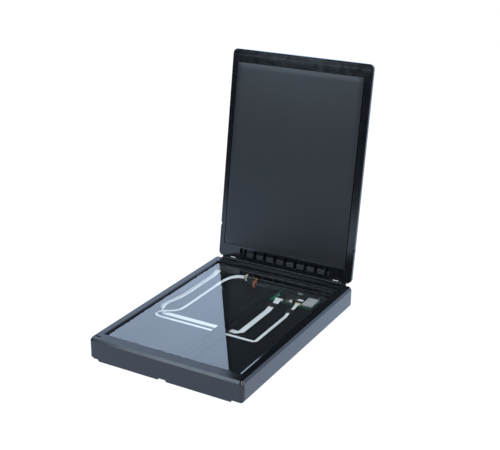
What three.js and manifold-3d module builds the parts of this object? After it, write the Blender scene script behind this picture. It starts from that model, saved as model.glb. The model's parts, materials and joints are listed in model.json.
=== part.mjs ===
// A4 flatbed document scanner with its lid held open.
// Millimetres, +X to the right, +Y to the hinge side, +Z up, standing on its feet.
import * as THREE from 'three';
import { mergeVertices } from 'three/addons/utils/BufferGeometryUtils.js';
import Module from 'manifold-3d';

const wasm = await Module();
wasm.setup();

// Body
const bodyWidth = 250;
const bodyDepth = 346;
const bodyTop = 35; // top face above the desk
const cornerRadius = 6;
const wall = 2.4;
const topPlate = 2.3;
const topWall = 4; // wall left beside the bevel
const bevelWidth = 2.6;
const bevelHeight = 3.8;
const footProud = 1.2; // front skirt above the desk
const sideLift = 4.4; // side walls above the front skirt's lower edge
const skirtLeft = 17; // skirt's ends, in from the body's sides
const skirtRight = 19;
const bezelLeft = 15.3; // bezel's widths take in the slope down to the glass
const bezelRight = 16.8;
const bezelFront = 21.7;
const bezelBack = 21;
const slopeLeft = 5.3;
const slopeRight = 3.5;
const slopeEnds = 2.3; // at the front and back
const slopeLip = 0.5; // upright edge left under the slope
const sensorSlotX = [5.4, 13.6]; // from the body's left side
const sensorSlotY = [8.6, 11.4]; // from the body's front

// Tray
const floorThickness = 2.2;
const trayGap = 0.4;
const trayRim = 2;
const trayRimBottom = 2.2;
const footRadius = 8;
const footInset = 16;

// Glass
const glassThickness = 2;
const glassLap = 4.5;
const glassLapBack = 10;
const tape = 0.3;
const clearance = 0.3;

// Guide rail and rack
const railX = 3.5;
const railWidth = 15;
const railHeight = 5;
const railWall = 1.6;
const railEnd = 4.6; // from the inside of the body to each end
const grooveWidth = 4;
const grooveDepth = 2.2;
const rackModule = 0.8;
const rackWidth = 4.5;
const rackRise = 3.1; // pitch line above the floor
const tunnelHeight = 1;

// Scan head
const headInset = 19; // front face from the inside of the back wall, when parked
const headDepth = 14;
const headHeight = 9.4;
const headDrop = 1.4; // top of the head below the glass
const headInLeft = 11.4; // head's ends, in from the body's sides
const headInRight = 15.6;
const carrierThickness = 1.4;
const carrierDrop = 3.8; // carrier's underside below the head
const travelShort = 39.2; // travel is this much less than the inside of the body

// Drive
const motorRadius = 6.3;
const motorLength = 10.5;
const motorAhead = 8; // motor axis in front of the head
const motorDrop = 6.6; // motor axis below the top of the head
const gearX = -34; // left face of the large wheel
const trainModule = 0.6;
const wheelTeeth = 18;
const motorTeeth = 8;
const pinionTeeth = 10;
const shaftRadius = 0.9;
const pressureAngle = THREE.MathUtils.degToRad(20);
const backlash = 0.1; // taken off each flank at the pitch line

// Flat cables
const cableThickness = 0.4;
const cableLift = 0.1; // off the floor
const headCableWidth = 9;
const motorCableWidth = 5;
const headRunY = -11; // where each cable crosses the floor
const motorRunY = -24;
const headCableEnd = 22.6; // fixed runs end this far from the left wall
const motorCableEnd = 19.2;

// Main board
const boardInset = [113, 41]; // sides of the board from the body's right side
const boardLength = 60;
const boardGap = 2.6; // board to the inside of the back wall
const standoff = 2;
const boardThickness = 1.4;
const usbWidth = 8;
const usbHeight = 2.6;
const headClear = 0.4; // carrier over the port
const socketHeight = 2.4;

// Lid
const lidInset = 4; // lid's sides inside the body's
const lidStart = 2.5;
const lidCorner = 8;
const lidOpen = 98.05; // degrees up from closed
const lidEdge = 5; // thickness along the long edges
const lidCrown = 7.5; // added in the middle
const lidWall = 1.8;
const lidGap = 0.7; // rim above the body when closed
const frameThickness = 2.9;
const padInLeft = 13.8; // pad's sides, in from the body's
const padInRight = 17.5;
const padStart = 25.6; // from the hinge axis
const padShort = 20.4; // from the free end
const padThickness = 0.9;
const padRecess = 1.5;
const ribPitch = 18.6;
const ribThickness = 1.4;
const ribDepth = 6.4;

// Hinges
const hingeInset = 31;
const pinRise = 0.26; // hinge pin above the top face
const pinBack = 0.2; // hinge pin inside the body's back face
const knuckleRadius = 2.9;
const beamRadius = 1.7; // lid's edge round the hinge axis
const knuckleWidth = 9.2;
const earWidth = 3.6;
const pinRadius = 1.2;
const bladeWidth = 16;
const bladeThickness = 2.7;
const wellWall = 1.2;

// Derived places
const halfWidth = bodyWidth / 2;
const halfDepth = bodyDepth / 2;
const innerX = halfWidth - wall;
const innerY = halfDepth - wall;
const openLeft = -halfWidth + bezelLeft;
const openRight = halfWidth - bezelRight;
const openFront = -halfDepth + bezelFront;
const openBack = halfDepth - bezelBack;
const travel = 2 * innerY - travelShort;
const hingeX = halfWidth - hingeInset;
const lidWidth = bodyWidth - 2 * lidInset;
const bezelUnder = bodyTop - topPlate;
const glassTop = bezelUnder - tape;
const glassBottom = glassTop - glassThickness;
const headFront = innerY - headInset;
const headTop = glassBottom - headDrop;
const headBottom = headTop - headHeight;
const carrierBottom = headBottom - carrierDrop;
const motorY = headFront - motorAhead;
const trayFloor = carrierBottom - headClear - usbHeight - boardThickness - standoff;
const wheelPitch = wheelTeeth * trainModule / 2;
const motorPitch = motorTeeth * trainModule / 2;
const pinionPitch = pinionTeeth * rackModule / 2;
const rackPitchZ = trayFloor + rackRise;
const motorZ = headTop - motorDrop;
const gearZ = rackPitchZ + pinionPitch;
const meshRise = motorZ - gearZ;
const gearY = motorY - Math.sqrt((wheelPitch + motorPitch) ** 2 - meshRise ** 2);
const boardX = boardInset.map((inset) => halfWidth - inset);
const boardY = [innerY - boardGap - boardLength, innerY - boardGap];
const boardBottom = trayFloor + standoff;
const boardTop = boardBottom + boardThickness;
const headCableX = boardX[0] + 14.2;
const motorCableX = boardX[0] + 47.4;
const usbX = boardX[0] + 48;
const glassX = [openLeft - glassLap, openRight + glassLap];
const glassY = [openFront - glassLap, openBack + glassLapBack];
const sideBottom = footProud + sideLift;
const pivotY = halfDepth - pinBack;
const pivotZ = bodyTop + pinRise;

const materials = {
  body: { color: 0x1b1e23, roughness: 0.42, metalness: 0 },
  tray: { color: 0x24282d, roughness: 0.6, metalness: 0 },
  glass: { color: 0xcfe0e4, roughness: 0.02, metalness: 0 },
  strip: { color: 0xf2f2ee, roughness: 0.7, metalness: 0 },
  lid: { color: 0x14161a, roughness: 0.18, metalness: 0 },
  frame: { color: 0x202328, roughness: 0.45, metalness: 0 },
  pad: { color: 0x2c2e31, roughness: 0.8, metalness: 0 },
  foam: { color: 0x3a3a3c, roughness: 0.95, metalness: 0 },
  rubber: { color: 0x111111, roughness: 0.9, metalness: 0 },
  steel: { color: 0xb8bcc0, roughness: 0.3, metalness: 1 },
  brass: { color: 0xb5713c, roughness: 0.35, metalness: 1 },
  acetal: { color: 0xdcdcd6, roughness: 0.4, metalness: 0 },
  board: { color: 0x1d7a58, roughness: 0.45, metalness: 0 },
  cable: { color: 0xf1f3f6, roughness: 0.4, metalness: 0 },
  cream: { color: 0xe6e0c8, roughness: 0.5, metalness: 0 },
  dark: { color: 0x16181a, roughness: 0.5, metalness: 0 },
  sensor: { color: 0x2a2d31, roughness: 0.5, metalness: 0 },
};

// Solids

function solid(geometry) {
  geometry.deleteAttribute('normal');
  geometry.deleteAttribute('uv');
  const merged = mergeVertices(geometry, 1e-4);
  return new wasm.Manifold(new wasm.Mesh({
    numProp: 3,
    vertProperties: new Float32Array(merged.attributes.position.array),
    triVerts: new Uint32Array(merged.index.array),
  }));
}

// Both ends, in order, of a stretch that is mirrored when sign is -1.
function span(sign, near, far) {
  return [sign * near, sign * far].sort((a, b) => a - b);
}

function join(pieces) {
  return pieces.reduce((whole, piece) => whole.add(piece));
}

function cut(whole, tools) {
  return tools.reduce((rest, tool) => rest.subtract(tool), whole);
}

function box([x0, x1], [y0, y1], [z0, z1]) {
  const geometry = new THREE.BoxGeometry(x1 - x0, y1 - y0, z1 - z0);
  geometry.translate((x0 + x1) / 2, (y0 + y1) / 2, (z0 + z1) / 2);
  return solid(geometry);
}

function rod(axis, radius, from, to, [u, v], segments = 20) {
  const geometry = new THREE.CylinderGeometry(radius, radius, to - from, segments);
  const middle = (from + to) / 2;
  if (axis === 'x') {
    geometry.rotateZ(-Math.PI / 2);
    geometry.translate(middle, u, v);
  } else {
    geometry.rotateX(Math.PI / 2);
    geometry.translate(u, v, middle);
  }
  return solid(geometry);
}

function roundedShape(x0, x1, y0, y1, radius) {
  const shape = new THREE.Shape();
  shape.moveTo(x0 + radius, y0);
  shape.lineTo(x1 - radius, y0);
  shape.absarc(x1 - radius, y0 + radius, radius, -Math.PI / 2, 0, false);
  shape.lineTo(x1, y1 - radius);
  shape.absarc(x1 - radius, y1 - radius, radius, 0, Math.PI / 2, false);
  shape.lineTo(x0 + radius, y1);
  shape.absarc(x0 + radius, y1 - radius, radius, Math.PI / 2, Math.PI, false);
  shape.lineTo(x0, y0 + radius);
  shape.absarc(x0 + radius, y0 + radius, radius, Math.PI, Math.PI * 1.5, false);
  return shape;
}

function plate(shape, z0, z1) {
  const geometry = new THREE.ExtrudeGeometry(shape, {
    depth: z1 - z0, bevelEnabled: false, curveSegments: 6,
  });
  geometry.translate(0, 0, z0);
  return solid(geometry);
}

function roundedPlate([x0, x1], [y0, y1], [z0, z1], radius) {
  return plate(roundedShape(x0, x1, y0, y1, radius), z0, z1);
}

// Section drawn in X and Z, run along Y.
function bar(points, [y0, y1]) {
  const shape = new THREE.Shape(points.map(([x, z]) => new THREE.Vector2(x, -z)));
  const geometry = new THREE.ExtrudeGeometry(shape, { depth: y1 - y0, bevelEnabled: false });
  geometry.rotateX(-Math.PI / 2);
  geometry.translate(0, y0, 0);
  return solid(geometry);
}

// Section drawn in Y and Z, run along X.
function crossBar(points, [x0, x1]) {
  const shape = new THREE.Shape(points.map(([y, z]) => new THREE.Vector2(y, z)));
  const geometry = new THREE.ExtrudeGeometry(shape, { depth: x1 - x0, bevelEnabled: false });
  const turn = new THREE.Matrix4().makeBasis(
    new THREE.Vector3(0, 1, 0), new THREE.Vector3(0, 0, 1), new THREE.Vector3(1, 0, 0),
  );
  geometry.applyMatrix4(turn);
  geometry.translate(x0, 0, 0);
  return solid(geometry);
}

// Flat strip swept through the stations, each a place and the direction across the strip.
function ribbon(stations, width, steps) {
  const centre = new THREE.CatmullRomCurve3(stations.map((s) => new THREE.Vector3(...s.at)));
  const across = new THREE.CatmullRomCurve3(stations.map((s) => new THREE.Vector3(...s.across)));
  const corners = [];
  for (let i = 0; i <= steps; i += 1) {
    const middle = centre.getPoint(i / steps);
    const side = across.getPoint(i / steps).normalize();
    const normal = centre.getTangent(i / steps).cross(side).normalize();
    side.multiplyScalar(width / 2);
    normal.multiplyScalar(cableThickness / 2);
    corners.push(middle.clone().sub(side).sub(normal));
    corners.push(middle.clone().add(side).sub(normal));
    corners.push(middle.clone().add(side).add(normal));
    corners.push(middle.clone().sub(side).add(normal));
  }
  const faces = [0, 1, 2, 0, 2, 3];
  for (let i = 0; i < steps; i += 1) {
    for (let k = 0; k < 4; k += 1) {
      const a = 4 * i + k;
      const b = 4 * i + ((k + 1) % 4);
      faces.push(a, a + 4, b, b, a + 4, b + 4);
    }
  }
  const last = 4 * steps;
  faces.push(last, last + 2, last + 1, last, last + 3, last + 2);
  const geometry = new THREE.BufferGeometry().setFromPoints(corners);
  geometry.setIndex(faces);
  const strip = solid(geometry);
  if (strip.volume() > 0) return strip;
  geometry.setIndex(faces.reverse());
  return solid(geometry);
}

// Involute outline of a spur gear centred on (0, 0), with a tooth at the angle phase.
function gearOutline({ teeth, module, addendum, dedendum, phase }) {
  const pitch = teeth * module / 2;
  const base = pitch * Math.cos(pressureAngle);
  const involute = (angle) => Math.tan(angle) - angle;
  const halfTooth = Math.PI / 2 / teeth - backlash / pitch + involute(pressureAngle);
  const halfAt = (radius) => halfTooth - involute(Math.acos(Math.min(1, base / radius)));
  const tip = pitch + addendum;
  const radii = [pitch - dedendum, base, (base + tip) / 2, tip];
  const points = [];
  for (let i = 0; i < teeth; i += 1) {
    const middle = phase + 2 * Math.PI * i / teeth;
    radii.forEach((r) => points.push([middle - halfAt(r), r]));
    radii.toReversed().forEach((r) => points.push([middle + halfAt(r), r]));
  }
  return points.map(([angle, r]) => [r * Math.cos(angle), r * Math.sin(angle)]);
}

function gear(spec, range, [y, z]) {
  return crossBar(gearOutline(spec).map(([a, b]) => [a + y, b + z]), range);
}

const root = new THREE.Group();

function part(name, body, material, parent = root) {
  const mesh = body.getMesh();
  const geometry = new THREE.BufferGeometry();
  geometry.setAttribute('position', new THREE.BufferAttribute(mesh.vertProperties, 3));
  geometry.setIndex(new THREE.BufferAttribute(mesh.triVerts, 1));
  geometry.computeVertexNormals();
  const piece = new THREE.Mesh(geometry, new THREE.MeshStandardMaterial(materials[material]));
  piece.name = name;
  parent.add(piece);
}

const sides = [{ name: 'left', sign: -1 }, { name: 'right', sign: 1 }];

// Body

const screwX = innerX - 3.6;
const screwYs = [-halfDepth + 13, -0.35 * halfDepth + 0.55, halfDepth - 13];

function upperHousing() {
  const bevelled = new THREE.ExtrudeGeometry(
    roundedShape(
      -halfWidth + bevelWidth, halfWidth - bevelWidth,
      -halfDepth + bevelWidth, halfDepth - bevelWidth, cornerRadius - bevelWidth,
    ),
    {
      depth: bodyTop, bevelEnabled: true, bevelThickness: bevelHeight,
      bevelSize: bevelWidth, bevelSegments: 1, curveSegments: 6,
    },
  );
  bevelled.translate(0, 0, -bevelHeight);
  const block = solid(bevelled).intersect(box(
    [-bodyWidth, bodyWidth], [-bodyDepth, bodyDepth], [footProud, bodyTop + 1],
  ));
  const shoulder = bodyTop - bevelHeight;
  const cavity = roundedPlate(
    [-innerX, innerX], [-innerY, innerY], [footProud - 1, shoulder], cornerRadius - wall,
  );
  const cavityTop = roundedPlate(
    [-halfWidth + topWall, halfWidth - topWall], [-halfDepth + topWall, halfDepth - topWall],
    [shoulder - 1, bezelUnder], 2,
  );
  const window = roundedPlate(
    [openLeft, openRight], [openFront, openBack], [bezelUnder - 1, bodyTop + 1], 1,
  );
  const skirt = box([-bodyWidth, bodyWidth], [-bodyDepth, bodyDepth], [footProud - 1, sideBottom]);
  const frontSkirt = bar([
    [skirtLeft - halfWidth - sideLift, sideBottom + 1], [skirtLeft - halfWidth, footProud - 1],
    [halfWidth - skirtRight, footProud - 1], [halfWidth - skirtRight + sideLift, sideBottom + 1],
  ], [-bodyDepth, -halfDepth + cornerRadius]);
  const fingerNotch = box([-9, 4], [-bodyDepth, -innerY + 1], [footProud - 1, footProud + 2.5]);
  const slopeFoot = bezelUnder + slopeLip;
  const slopesX = bar([
    [openLeft, slopeFoot], [openLeft - slopeLeft, bodyTop], [openLeft - slopeLeft, bodyTop + 1],
    [openRight + slopeRight, bodyTop + 1], [openRight + slopeRight, bodyTop], [openRight, slopeFoot],
  ], [-halfDepth, halfDepth]);
  const slopesY = crossBar([
    [openFront, slopeFoot], [openFront - slopeEnds, bodyTop], [openFront - slopeEnds, bodyTop + 1],
    [openBack + slopeEnds, bodyTop + 1], [openBack + slopeEnds, bodyTop], [openBack, slopeFoot],
  ], [-halfWidth, halfWidth]);
  const slopes = slopesX.intersect(slopesY);
  const sensorSlot = box(
    sensorSlotX.map((x) => x - halfWidth), sensorSlotY.map((y) => y - halfDepth),
    [bezelUnder - 1, bodyTop + 1],
  );
  const usbMouth = box(
    [usbX - usbWidth / 2 - 0.3, usbX + usbWidth / 2 + 0.3],
    [innerY - 1, halfDepth + 1], [boardTop - 0.3, boardTop + usbHeight + 0.3],
  );
  const glassRoom = box(
    glassX.map((x) => x + Math.sign(x) * clearance),
    glassY.map((y) => y + Math.sign(y) * clearance),
    [glassBottom - clearance, bezelUnder],
  );
  const sideSkirt = skirt.subtract(frontSkirt);
  let shell = cut(block, [
    cavity, cavityTop, window, slopes, sideSkirt, fingerNotch, sensorSlot, usbMouth,
  ]);
  for (const { sign } of sides) {
    for (const y of screwYs) {
      const post = box(
        span(sign, screwX - 2.8, innerX + 0.5), [y - 4.5, y + 4.5],
        [trayFloor + clearance, bezelUnder + 0.5],
      );
      const hole = rod('z', 1.35, trayFloor, screwTip + 1, [sign * screwX, y], 12);
      shell = shell.add(post).subtract(hole);
    }
    shell = shell.subtract(glassRoom);
    const x = sign * hingeX;
    const inside = bladeWidth / 2 + clearance;
    const well = box(
      [x - inside - wellWall, x + inside + wellWall],
      [wellFront - wellWall, innerY + 0.5], [trayFloor + 4.6, bezelUnder + 0.5],
    );
    const slot = box([x - inside, x + inside], [wellFront, innerY], [trayFloor, bodyTop + 1]);
    const notch = box(
      [x - knuckleReach - 0.5, x + knuckleReach + 0.5],
      [wellFront, halfDepth + 1], [pivotZ - knuckleRadius - 0.5, bodyTop + 1],
    );
    shell = cut(shell.add(well), [slot, notch]);
  }
  return shell;
}

const wellFront = innerY - bladeThickness - clearance;
const knuckleReach = knuckleWidth / 2 + clearance + earWidth;
const trayX = innerX - trayGap;
const trayY = innerY - trayGap;
const boardScrews = [[boardX[0] + 5.5, boardY[0] + 20], [boardX[1] - 5, boardY[0] + 40]];

function bottomTray() {
  const floorBottom = trayFloor - floorThickness;
  const outer = roundedPlate([-trayX, trayX], [-trayY, trayY], [trayRimBottom, trayFloor], 3.2);
  const hollow = roundedPlate(
    [-trayX + trayRim, trayX - trayRim], [-trayY + trayRim, trayY - trayRim],
    [trayRimBottom - 1, floorBottom], 1.4,
  );
  let tray = outer.subtract(hollow);
  for (const y of [-0.6 * trayY, -0.12 * trayY, 0.35 * trayY]) {
    tray = tray.add(box([-trayX + 1, trayX - 1], [y, y + 1.2], [floorBottom - 3, floorBottom + 1]));
  }
  for (const { sign } of sides) {
    const x = sign * 0.37 * trayX;
    tray = tray.add(box([x, x + 1.2], [-trayY + 1, trayY - 1], [floorBottom - 3, floorBottom + 1]));
    for (const end of [-1, 1]) {
      const [footX, footY] = footPlace(sign, end);
      tray = tray.add(rod('z', footRadius + 1, trayRimBottom, floorBottom + 1, [footX, footY], 24));
    }
    for (const y of screwYs) {
      const boss = box(
        span(sign, screwX - 4.4, trayX - trayRim + 0.5), [y - 4, y + 4],
        [trayRimBottom + 1, floorBottom + 1],
      );
      const hole = rod('z', 1.5, trayRimBottom, trayFloor + 1, [sign * screwX, y], 12);
      const bore = rod('z', 2.5, 0, screwSeat, [sign * screwX, y], 16);
      tray = cut(tray.add(boss), [hole, bore]);
    }
  }
  for (const at of boardScrews) {
    tray = tray.add(rod('z', 2.6, trayFloor - 1, boardBottom, at, 16));
    tray = tray.subtract(rod('z', 0.95, trayFloor - 0.5, boardBottom + 1, at, 10));
  }
  return tray;
}

const screwSeat = 5.6;
const screwTip = 20;

function footPlace(sign, end) {
  return [sign * (trayX - footInset), end * (trayY - footInset)];
}

function foot(at) {
  const rim = 0.6;
  const profile = [
    [0, 0], [footRadius - rim, 0], [footRadius, rim], [footRadius, trayRimBottom], [0, trayRimBottom],
  ];
  const geometry = new THREE.LatheGeometry(profile.map(([r, z]) => new THREE.Vector2(r, z)), 24);
  geometry.rotateX(Math.PI / 2);
  geometry.translate(at[0], at[1], 0);
  return solid(geometry);
}

// The head stands on the seat, on the far side from the tip.
function screw(at, seat, headRadius, headHeight, shank, tip) {
  const outward = Math.sign(seat - tip);
  const top = seat + outward * headHeight;
  const inHead = seat + outward * headHeight / 2;
  const head = rod('z', headRadius, Math.min(seat, top), Math.max(seat, top), at, 16);
  return head.add(rod('z', shank, Math.min(inHead, tip), Math.max(inHead, tip), at, 10));
}

part('upper_housing', upperHousing(), 'body');
part('bottom_tray', bottomTray(), 'tray');
for (const { name, sign } of sides) {
  part(`foot_front_${name}`, foot(footPlace(sign, -1)), 'rubber');
  part(`foot_rear_${name}`, foot(footPlace(sign, 1)), 'rubber');
  screwYs.forEach((y, i) => {
    const place = ['front', 'middle', 'rear'][i];
    const body = screw([sign * screwX, y], screwSeat, 2.2, 1.8, 1.2, screwTip);
    part(`case_screw_${place}_${name}`, body, 'steel');
  });
}

// Glass

const stripY = [openBack + 1.2, openBack + glassLapBack - 1.4];

function glassTape() {
  const ring = box(glassX, glassY, [glassTop, bezelUnder]);
  const inner = box(
    [openLeft - 0.4, openRight + 0.4], [openFront - 0.4, openBack + 0.4], [glassTop - 1, bezelUnder + 1],
  );
  const pocket = box(
    [openLeft - 0.4, openRight + 0.4], [openBack, stripY[1] + clearance],
    [glassTop - 1, bezelUnder + 1],
  );
  return cut(ring, [inner, pocket]);
}

part('platen_glass', box(glassX, glassY, [glassBottom, glassTop]), 'glass');
part('glass_tape', glassTape(), 'dark');
part('calibration_strip', box([openLeft + 1, openRight - 1], stripY, [glassTop, bezelUnder]), 'strip');

// Guide rail and rack

const rackAddendum = 0.42;
const rackDedendum = 0.95;
const railLeft = railX - railWidth / 2;
const rackX = [railLeft - 2 - rackWidth, railLeft - 2];
const tunnelY = [motorRunY - 8, headRunY + 10];
const cableTunnel = box([-30, 30], tunnelY, [trayFloor - 1, trayFloor + tunnelHeight]);

function guideRail() {
  const half = railWidth / 2;
  const groove = grooveWidth / 2;
  const top = railHeight;
  const right = [
    [half, 0], [half, top], [groove, top], [groove, top - grooveDepth],
  ];
  const under = [
    [-half + railWall, 0], [-half + railWall, top - railWall], [-groove - railWall, top - railWall],
    [-groove - railWall, top - grooveDepth - 1.2], [groove + railWall, top - grooveDepth - 1.2],
    [groove + railWall, top - railWall], [half - railWall, top - railWall], [half - railWall, 0],
  ];
  const left = right.toReversed().map(([x, z]) => [-x, z]);
  const outline = [...right, ...left, ...under];
  const rail = bar(
    outline.map(([x, z]) => [x + railX, z + trayFloor]),
    [-innerY + railEnd, innerY - railEnd - wall],
  );
  return rail.subtract(cableTunnel);
}

function driveRack() {
  const pitch = Math.PI * rackModule;
  const slope = Math.tan(pressureAngle);
  const tipHalf = pitch / 4 - backlash - rackAddendum * slope;
  const rootHalf = pitch / 4 - backlash + rackDedendum * slope;
  const back = 3;
  const ahead = Math.ceil(travel / pitch);
  const points = [];
  for (let i = back; i >= -ahead; i -= 1) {
    const y = gearY + i * pitch;
    const [rootZ, tipZ] = [rackPitchZ - rackDedendum, rackPitchZ + rackAddendum];
    points.push([y + rootHalf, rootZ], [y + tipHalf, tipZ], [y - tipHalf, tipZ], [y - rootHalf, rootZ]);
  }
  const front = gearY - ahead * pitch - rootHalf - 0.4;
  const rear = gearY + back * pitch + rootHalf + 0.4;
  points.push([front, rackPitchZ - rackDedendum], [front, trayFloor]);
  points.push([rear, trayFloor], [rear, rackPitchZ - rackDedendum]);
  return crossBar(points, rackX).subtract(cableTunnel);
}

part('guide_rail', guideRail(), 'tray');
part('drive_rack', driveRack(), 'acetal');

// Main board

const socketY = [boardY[0] + 2.5, boardY[0] + 6.5];
const cableEntry = boardTop + 1.1;

function mainBoard() {
  const holes = boardScrews.map((at) => rod('z', 1, boardBottom - 1, boardTop + 1, at, 12));
  return cut(box(boardX, boardY, [boardBottom, boardTop]), holes);
}

function socket(x, width) {
  const half = width / 2 + 1.6;
  const front = socketY[0];
  const top = boardTop + socketHeight;
  const shell = box([x - half, x + half], socketY, [boardTop, top]);
  const slot = width / 2 + clearance;
  const mouth = box([x - slot, x + slot], [front - 1, front + 2.6], [cableEntry - 0.5, cableEntry + 0.5]);
  const latch = box([x - half - 0.6, x + half + 0.6], [front + 0.2, front + 1.2], [top - 0.5, top]);
  return shell.add(latch).subtract(mouth);
}

function usbPort() {
  const half = usbWidth / 2;
  const front = innerY - 9.6;
  const back = halfDepth - 0.6;
  const shell = box([usbX - half, usbX + half], [front, back], [boardTop, boardTop + usbHeight]);
  const mouth = box(
    [usbX - half + 0.5, usbX + half - 0.5], [front + 3.5, back + 1],
    [boardTop + 0.5, boardTop + usbHeight - 0.5],
  );
  const tongue = box(
    [usbX - half + 1.6, usbX + half - 1.6], [front + 3, back - 1.6], [boardTop + 1.2, boardTop + 1.9],
  );
  return shell.subtract(mouth).add(tongue);
}

function boardShield() {
  const x = [boardX[1] - 18.5, boardX[1] - 1];
  const y = [boardY[0] + 6, boardY[0] + 32];
  const skin = 0.4;
  const lid = box(x, y, [boardTop, boardTop + 2.3]);
  const hollow = box(
    [x[0] + skin, x[1] - skin], [y[0] + skin, y[1] - skin], [boardTop - 1, boardTop + 1.9],
  );
  const vents = [0, 1, 2].map((i) => (
    rod('z', 0.8, boardTop, boardTop + 3, [x[0] + 4 + 3.2 * i, y[1] - 4], 10)
  ));
  return cut(lid, [hollow, ...vents]);
}

part('main_board', mainBoard(), 'board');
part('head_socket', socket(headCableX, headCableWidth), 'cream');
part('motor_socket', socket(motorCableX, motorCableWidth), 'cream');
part('usb_port', usbPort(), 'steel');
part('board_shield', boardShield(), 'steel');
const onBoard = (left, front, width, depth, height, radius) => roundedPlate(
  [boardX[0] + left, boardX[0] + left + width], [boardY[0] + front, boardY[0] + front + depth],
  [boardTop, boardTop + height], radius,
);
part('main_chip', onBoard(22, 16, 14, 14, 1.4, 0.6), 'dark');
part('clock_crystal', onBoard(30, 38, 8, 4, 2, 1.8), 'steel');
const capacitorAt = [boardX[0] + 33, boardY[0] + 8.5];
part('smoothing_capacitor', rod('z', 2.5, boardTop, boardTop + 2.4, capacitorAt, 20), 'strip');
boardScrews.forEach((at, i) => {
  part(`board_screw_${i + 1}`, screw(at, boardTop, 1.9, 1.2, 0.75, trayFloor), 'steel');
});

// Flat cables

const cableBottom = trayFloor + cableLift;
const cableZ = cableBottom + cableThickness / 2;
const ferriteZ = trayFloor + 2.2;
const headFerriteY = [boardY[0] - 22, boardY[0] - 11];
const motorFerriteY = [boardY[0] - 28, boardY[0] - 17];
const ferriteHeight = 4.6;

// Down from the socket, through the ferrite, along the floor and round a 45 degree fold.
function fixedCable(x, runY, width, ferriteY, end) {
  const half = width / 2;
  const slope = new THREE.CatmullRomCurve3([
    [socketY[0] + 1.6, cableEntry], [socketY[0] - 3, cableEntry - 0.1],
    [ferriteY[1] + 0.5, ferriteZ], [ferriteY[0] - 0.5, ferriteZ],
    [ferriteY[0] - 9, cableZ + 0.1], [ferriteY[0] - 14, cableZ],
  ].map(([y, z]) => new THREE.Vector3(0, y, z))).getPoints(16);
  const section = (side) => slope.map((p) => [p.y, Math.max(p.z, cableZ) + side * cableThickness / 2]);
  const drop = crossBar([...section(1), ...section(-1).toReversed()], [x - half, x + half]);
  const floorShape = new THREE.Shape([
    [x - half, ferriteY[0] - 12.5], [x - half, runY + half], [end, runY + half],
    [end, runY - half], [x - half, runY - half], [x + half, runY + half],
    [x + half, ferriteY[0] - 12.5],
  ].map(([px, py]) => new THREE.Vector2(px, py)));
  return drop.add(plate(floorShape, cableBottom, cableBottom + cableThickness));
}

function ferrite(x, width, [y0, y1]) {
  const half = width / 2;
  const core = roundedPlate(
    [x - half - 2.4, x + half + 2.4], [y0, y1], [trayFloor, trayFloor + ferriteHeight], 1.2,
  );
  return core.subtract(box(
    [x - half - 0.4, x + half + 0.4], [y0 - 1, y1 + 1], [ferriteZ - 0.6, ferriteZ + 0.6],
  ));
}

// Each stop: in from the left wall, place along the body, height over the floor run,
// and the direction across the ribbon.
const stops = (list) => list.map(([inward, y, rise, across]) => (
  { at: [inward - innerX, y, cableZ + rise], across }
));
const between = (start, end, share) => start + (end - start) * share;

const headRun = [headRunY + 25, headFront - 29.6];
const headLoop = stops([
  [22.2, headRunY, 0, [0, 1, 0]],
  [14.6, headRunY + 0.2, 0.2, [-0.2, 1, 0]],
  [8.4, headRunY + 3.6, 2.2, [-0.75, 0.7, 0]],
  [6, headRunY + 12, 6, [-1, 0, 0]],
  [5.8, headRun[0], 6, [-1, 0, 0]],
  [6, between(...headRun, 0.22), 2.6, [-1, 0, 0]],
  [6.2, between(...headRun, 0.48), 0.3, [-1, 0, 0]],
  [6.2, between(...headRun, 0.76), 0.3, [-1, 0, 0]],
  [7, headRun[1], 1, [-1, 0, 0]],
  [11, headFront - 12.6, 4.4, [-1, 0.1, 0]],
  [14, headFront - 4.4, 9.6, [-1, 0, 0]],
]);

const motorRun = [motorRunY + 40, motorY - 29.6];
const motorLoop = stops([
  [18.8, motorRunY, 0, [0, 1, 0]],
  [12.1, motorRunY, 0.4, [0, 1, 0]],
  [8.2, motorRunY + 1.6, 2.6, [0.1, 1, 0]],
  [11.1, motorRunY + 6, 4.6, [-0.2, 1, 0]],
  [18.6, motorRunY + 14, 4, [-0.6, 0.8, 0]],
  [27, motorRunY + 25, 2, [-0.9, 0.4, 0]],
  [31, motorRun[0], 0.5, [-1, 0, 0]],
  [31.6, between(...motorRun, 0.35), 0.3, [-1, 0, 0]],
  [31.6, between(...motorRun, 0.75), 0.3, [-1, 0, 0]],
  [32.2, motorRun[1], 0.8, [-1, 0, 0.1]],
  [36.6, motorY - 12.6, 4, [-0.9, 0.4, 0.3]],
  [45.6, motorY - 4.1, 8, [-0.4, 0.7, 0.6]],
  [56.6, motorY - 1, 11, [-0.1, 0.6, 0.9]],
  [68, motorY, 12, [0, 0.4, 1]],
]);

part('head_cable_fixed', fixedCable(
  headCableX, headRunY, headCableWidth, headFerriteY, headCableEnd - innerX,
), 'cable');
part('motor_cable_fixed', fixedCable(
  motorCableX, motorRunY, motorCableWidth, motorFerriteY, motorCableEnd - innerX,
), 'cable');
part('head_cable_ferrite', ferrite(headCableX, headCableWidth, headFerriteY), 'dark');
part('motor_cable_ferrite', ferrite(motorCableX, motorCableWidth, motorFerriteY), 'dark');
part('head_cable_loop', ribbon(headLoop, headCableWidth, 44), 'cable');
part('motor_cable_loop', ribbon(motorLoop, motorCableWidth, 56), 'cable');

// Scan head

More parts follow.
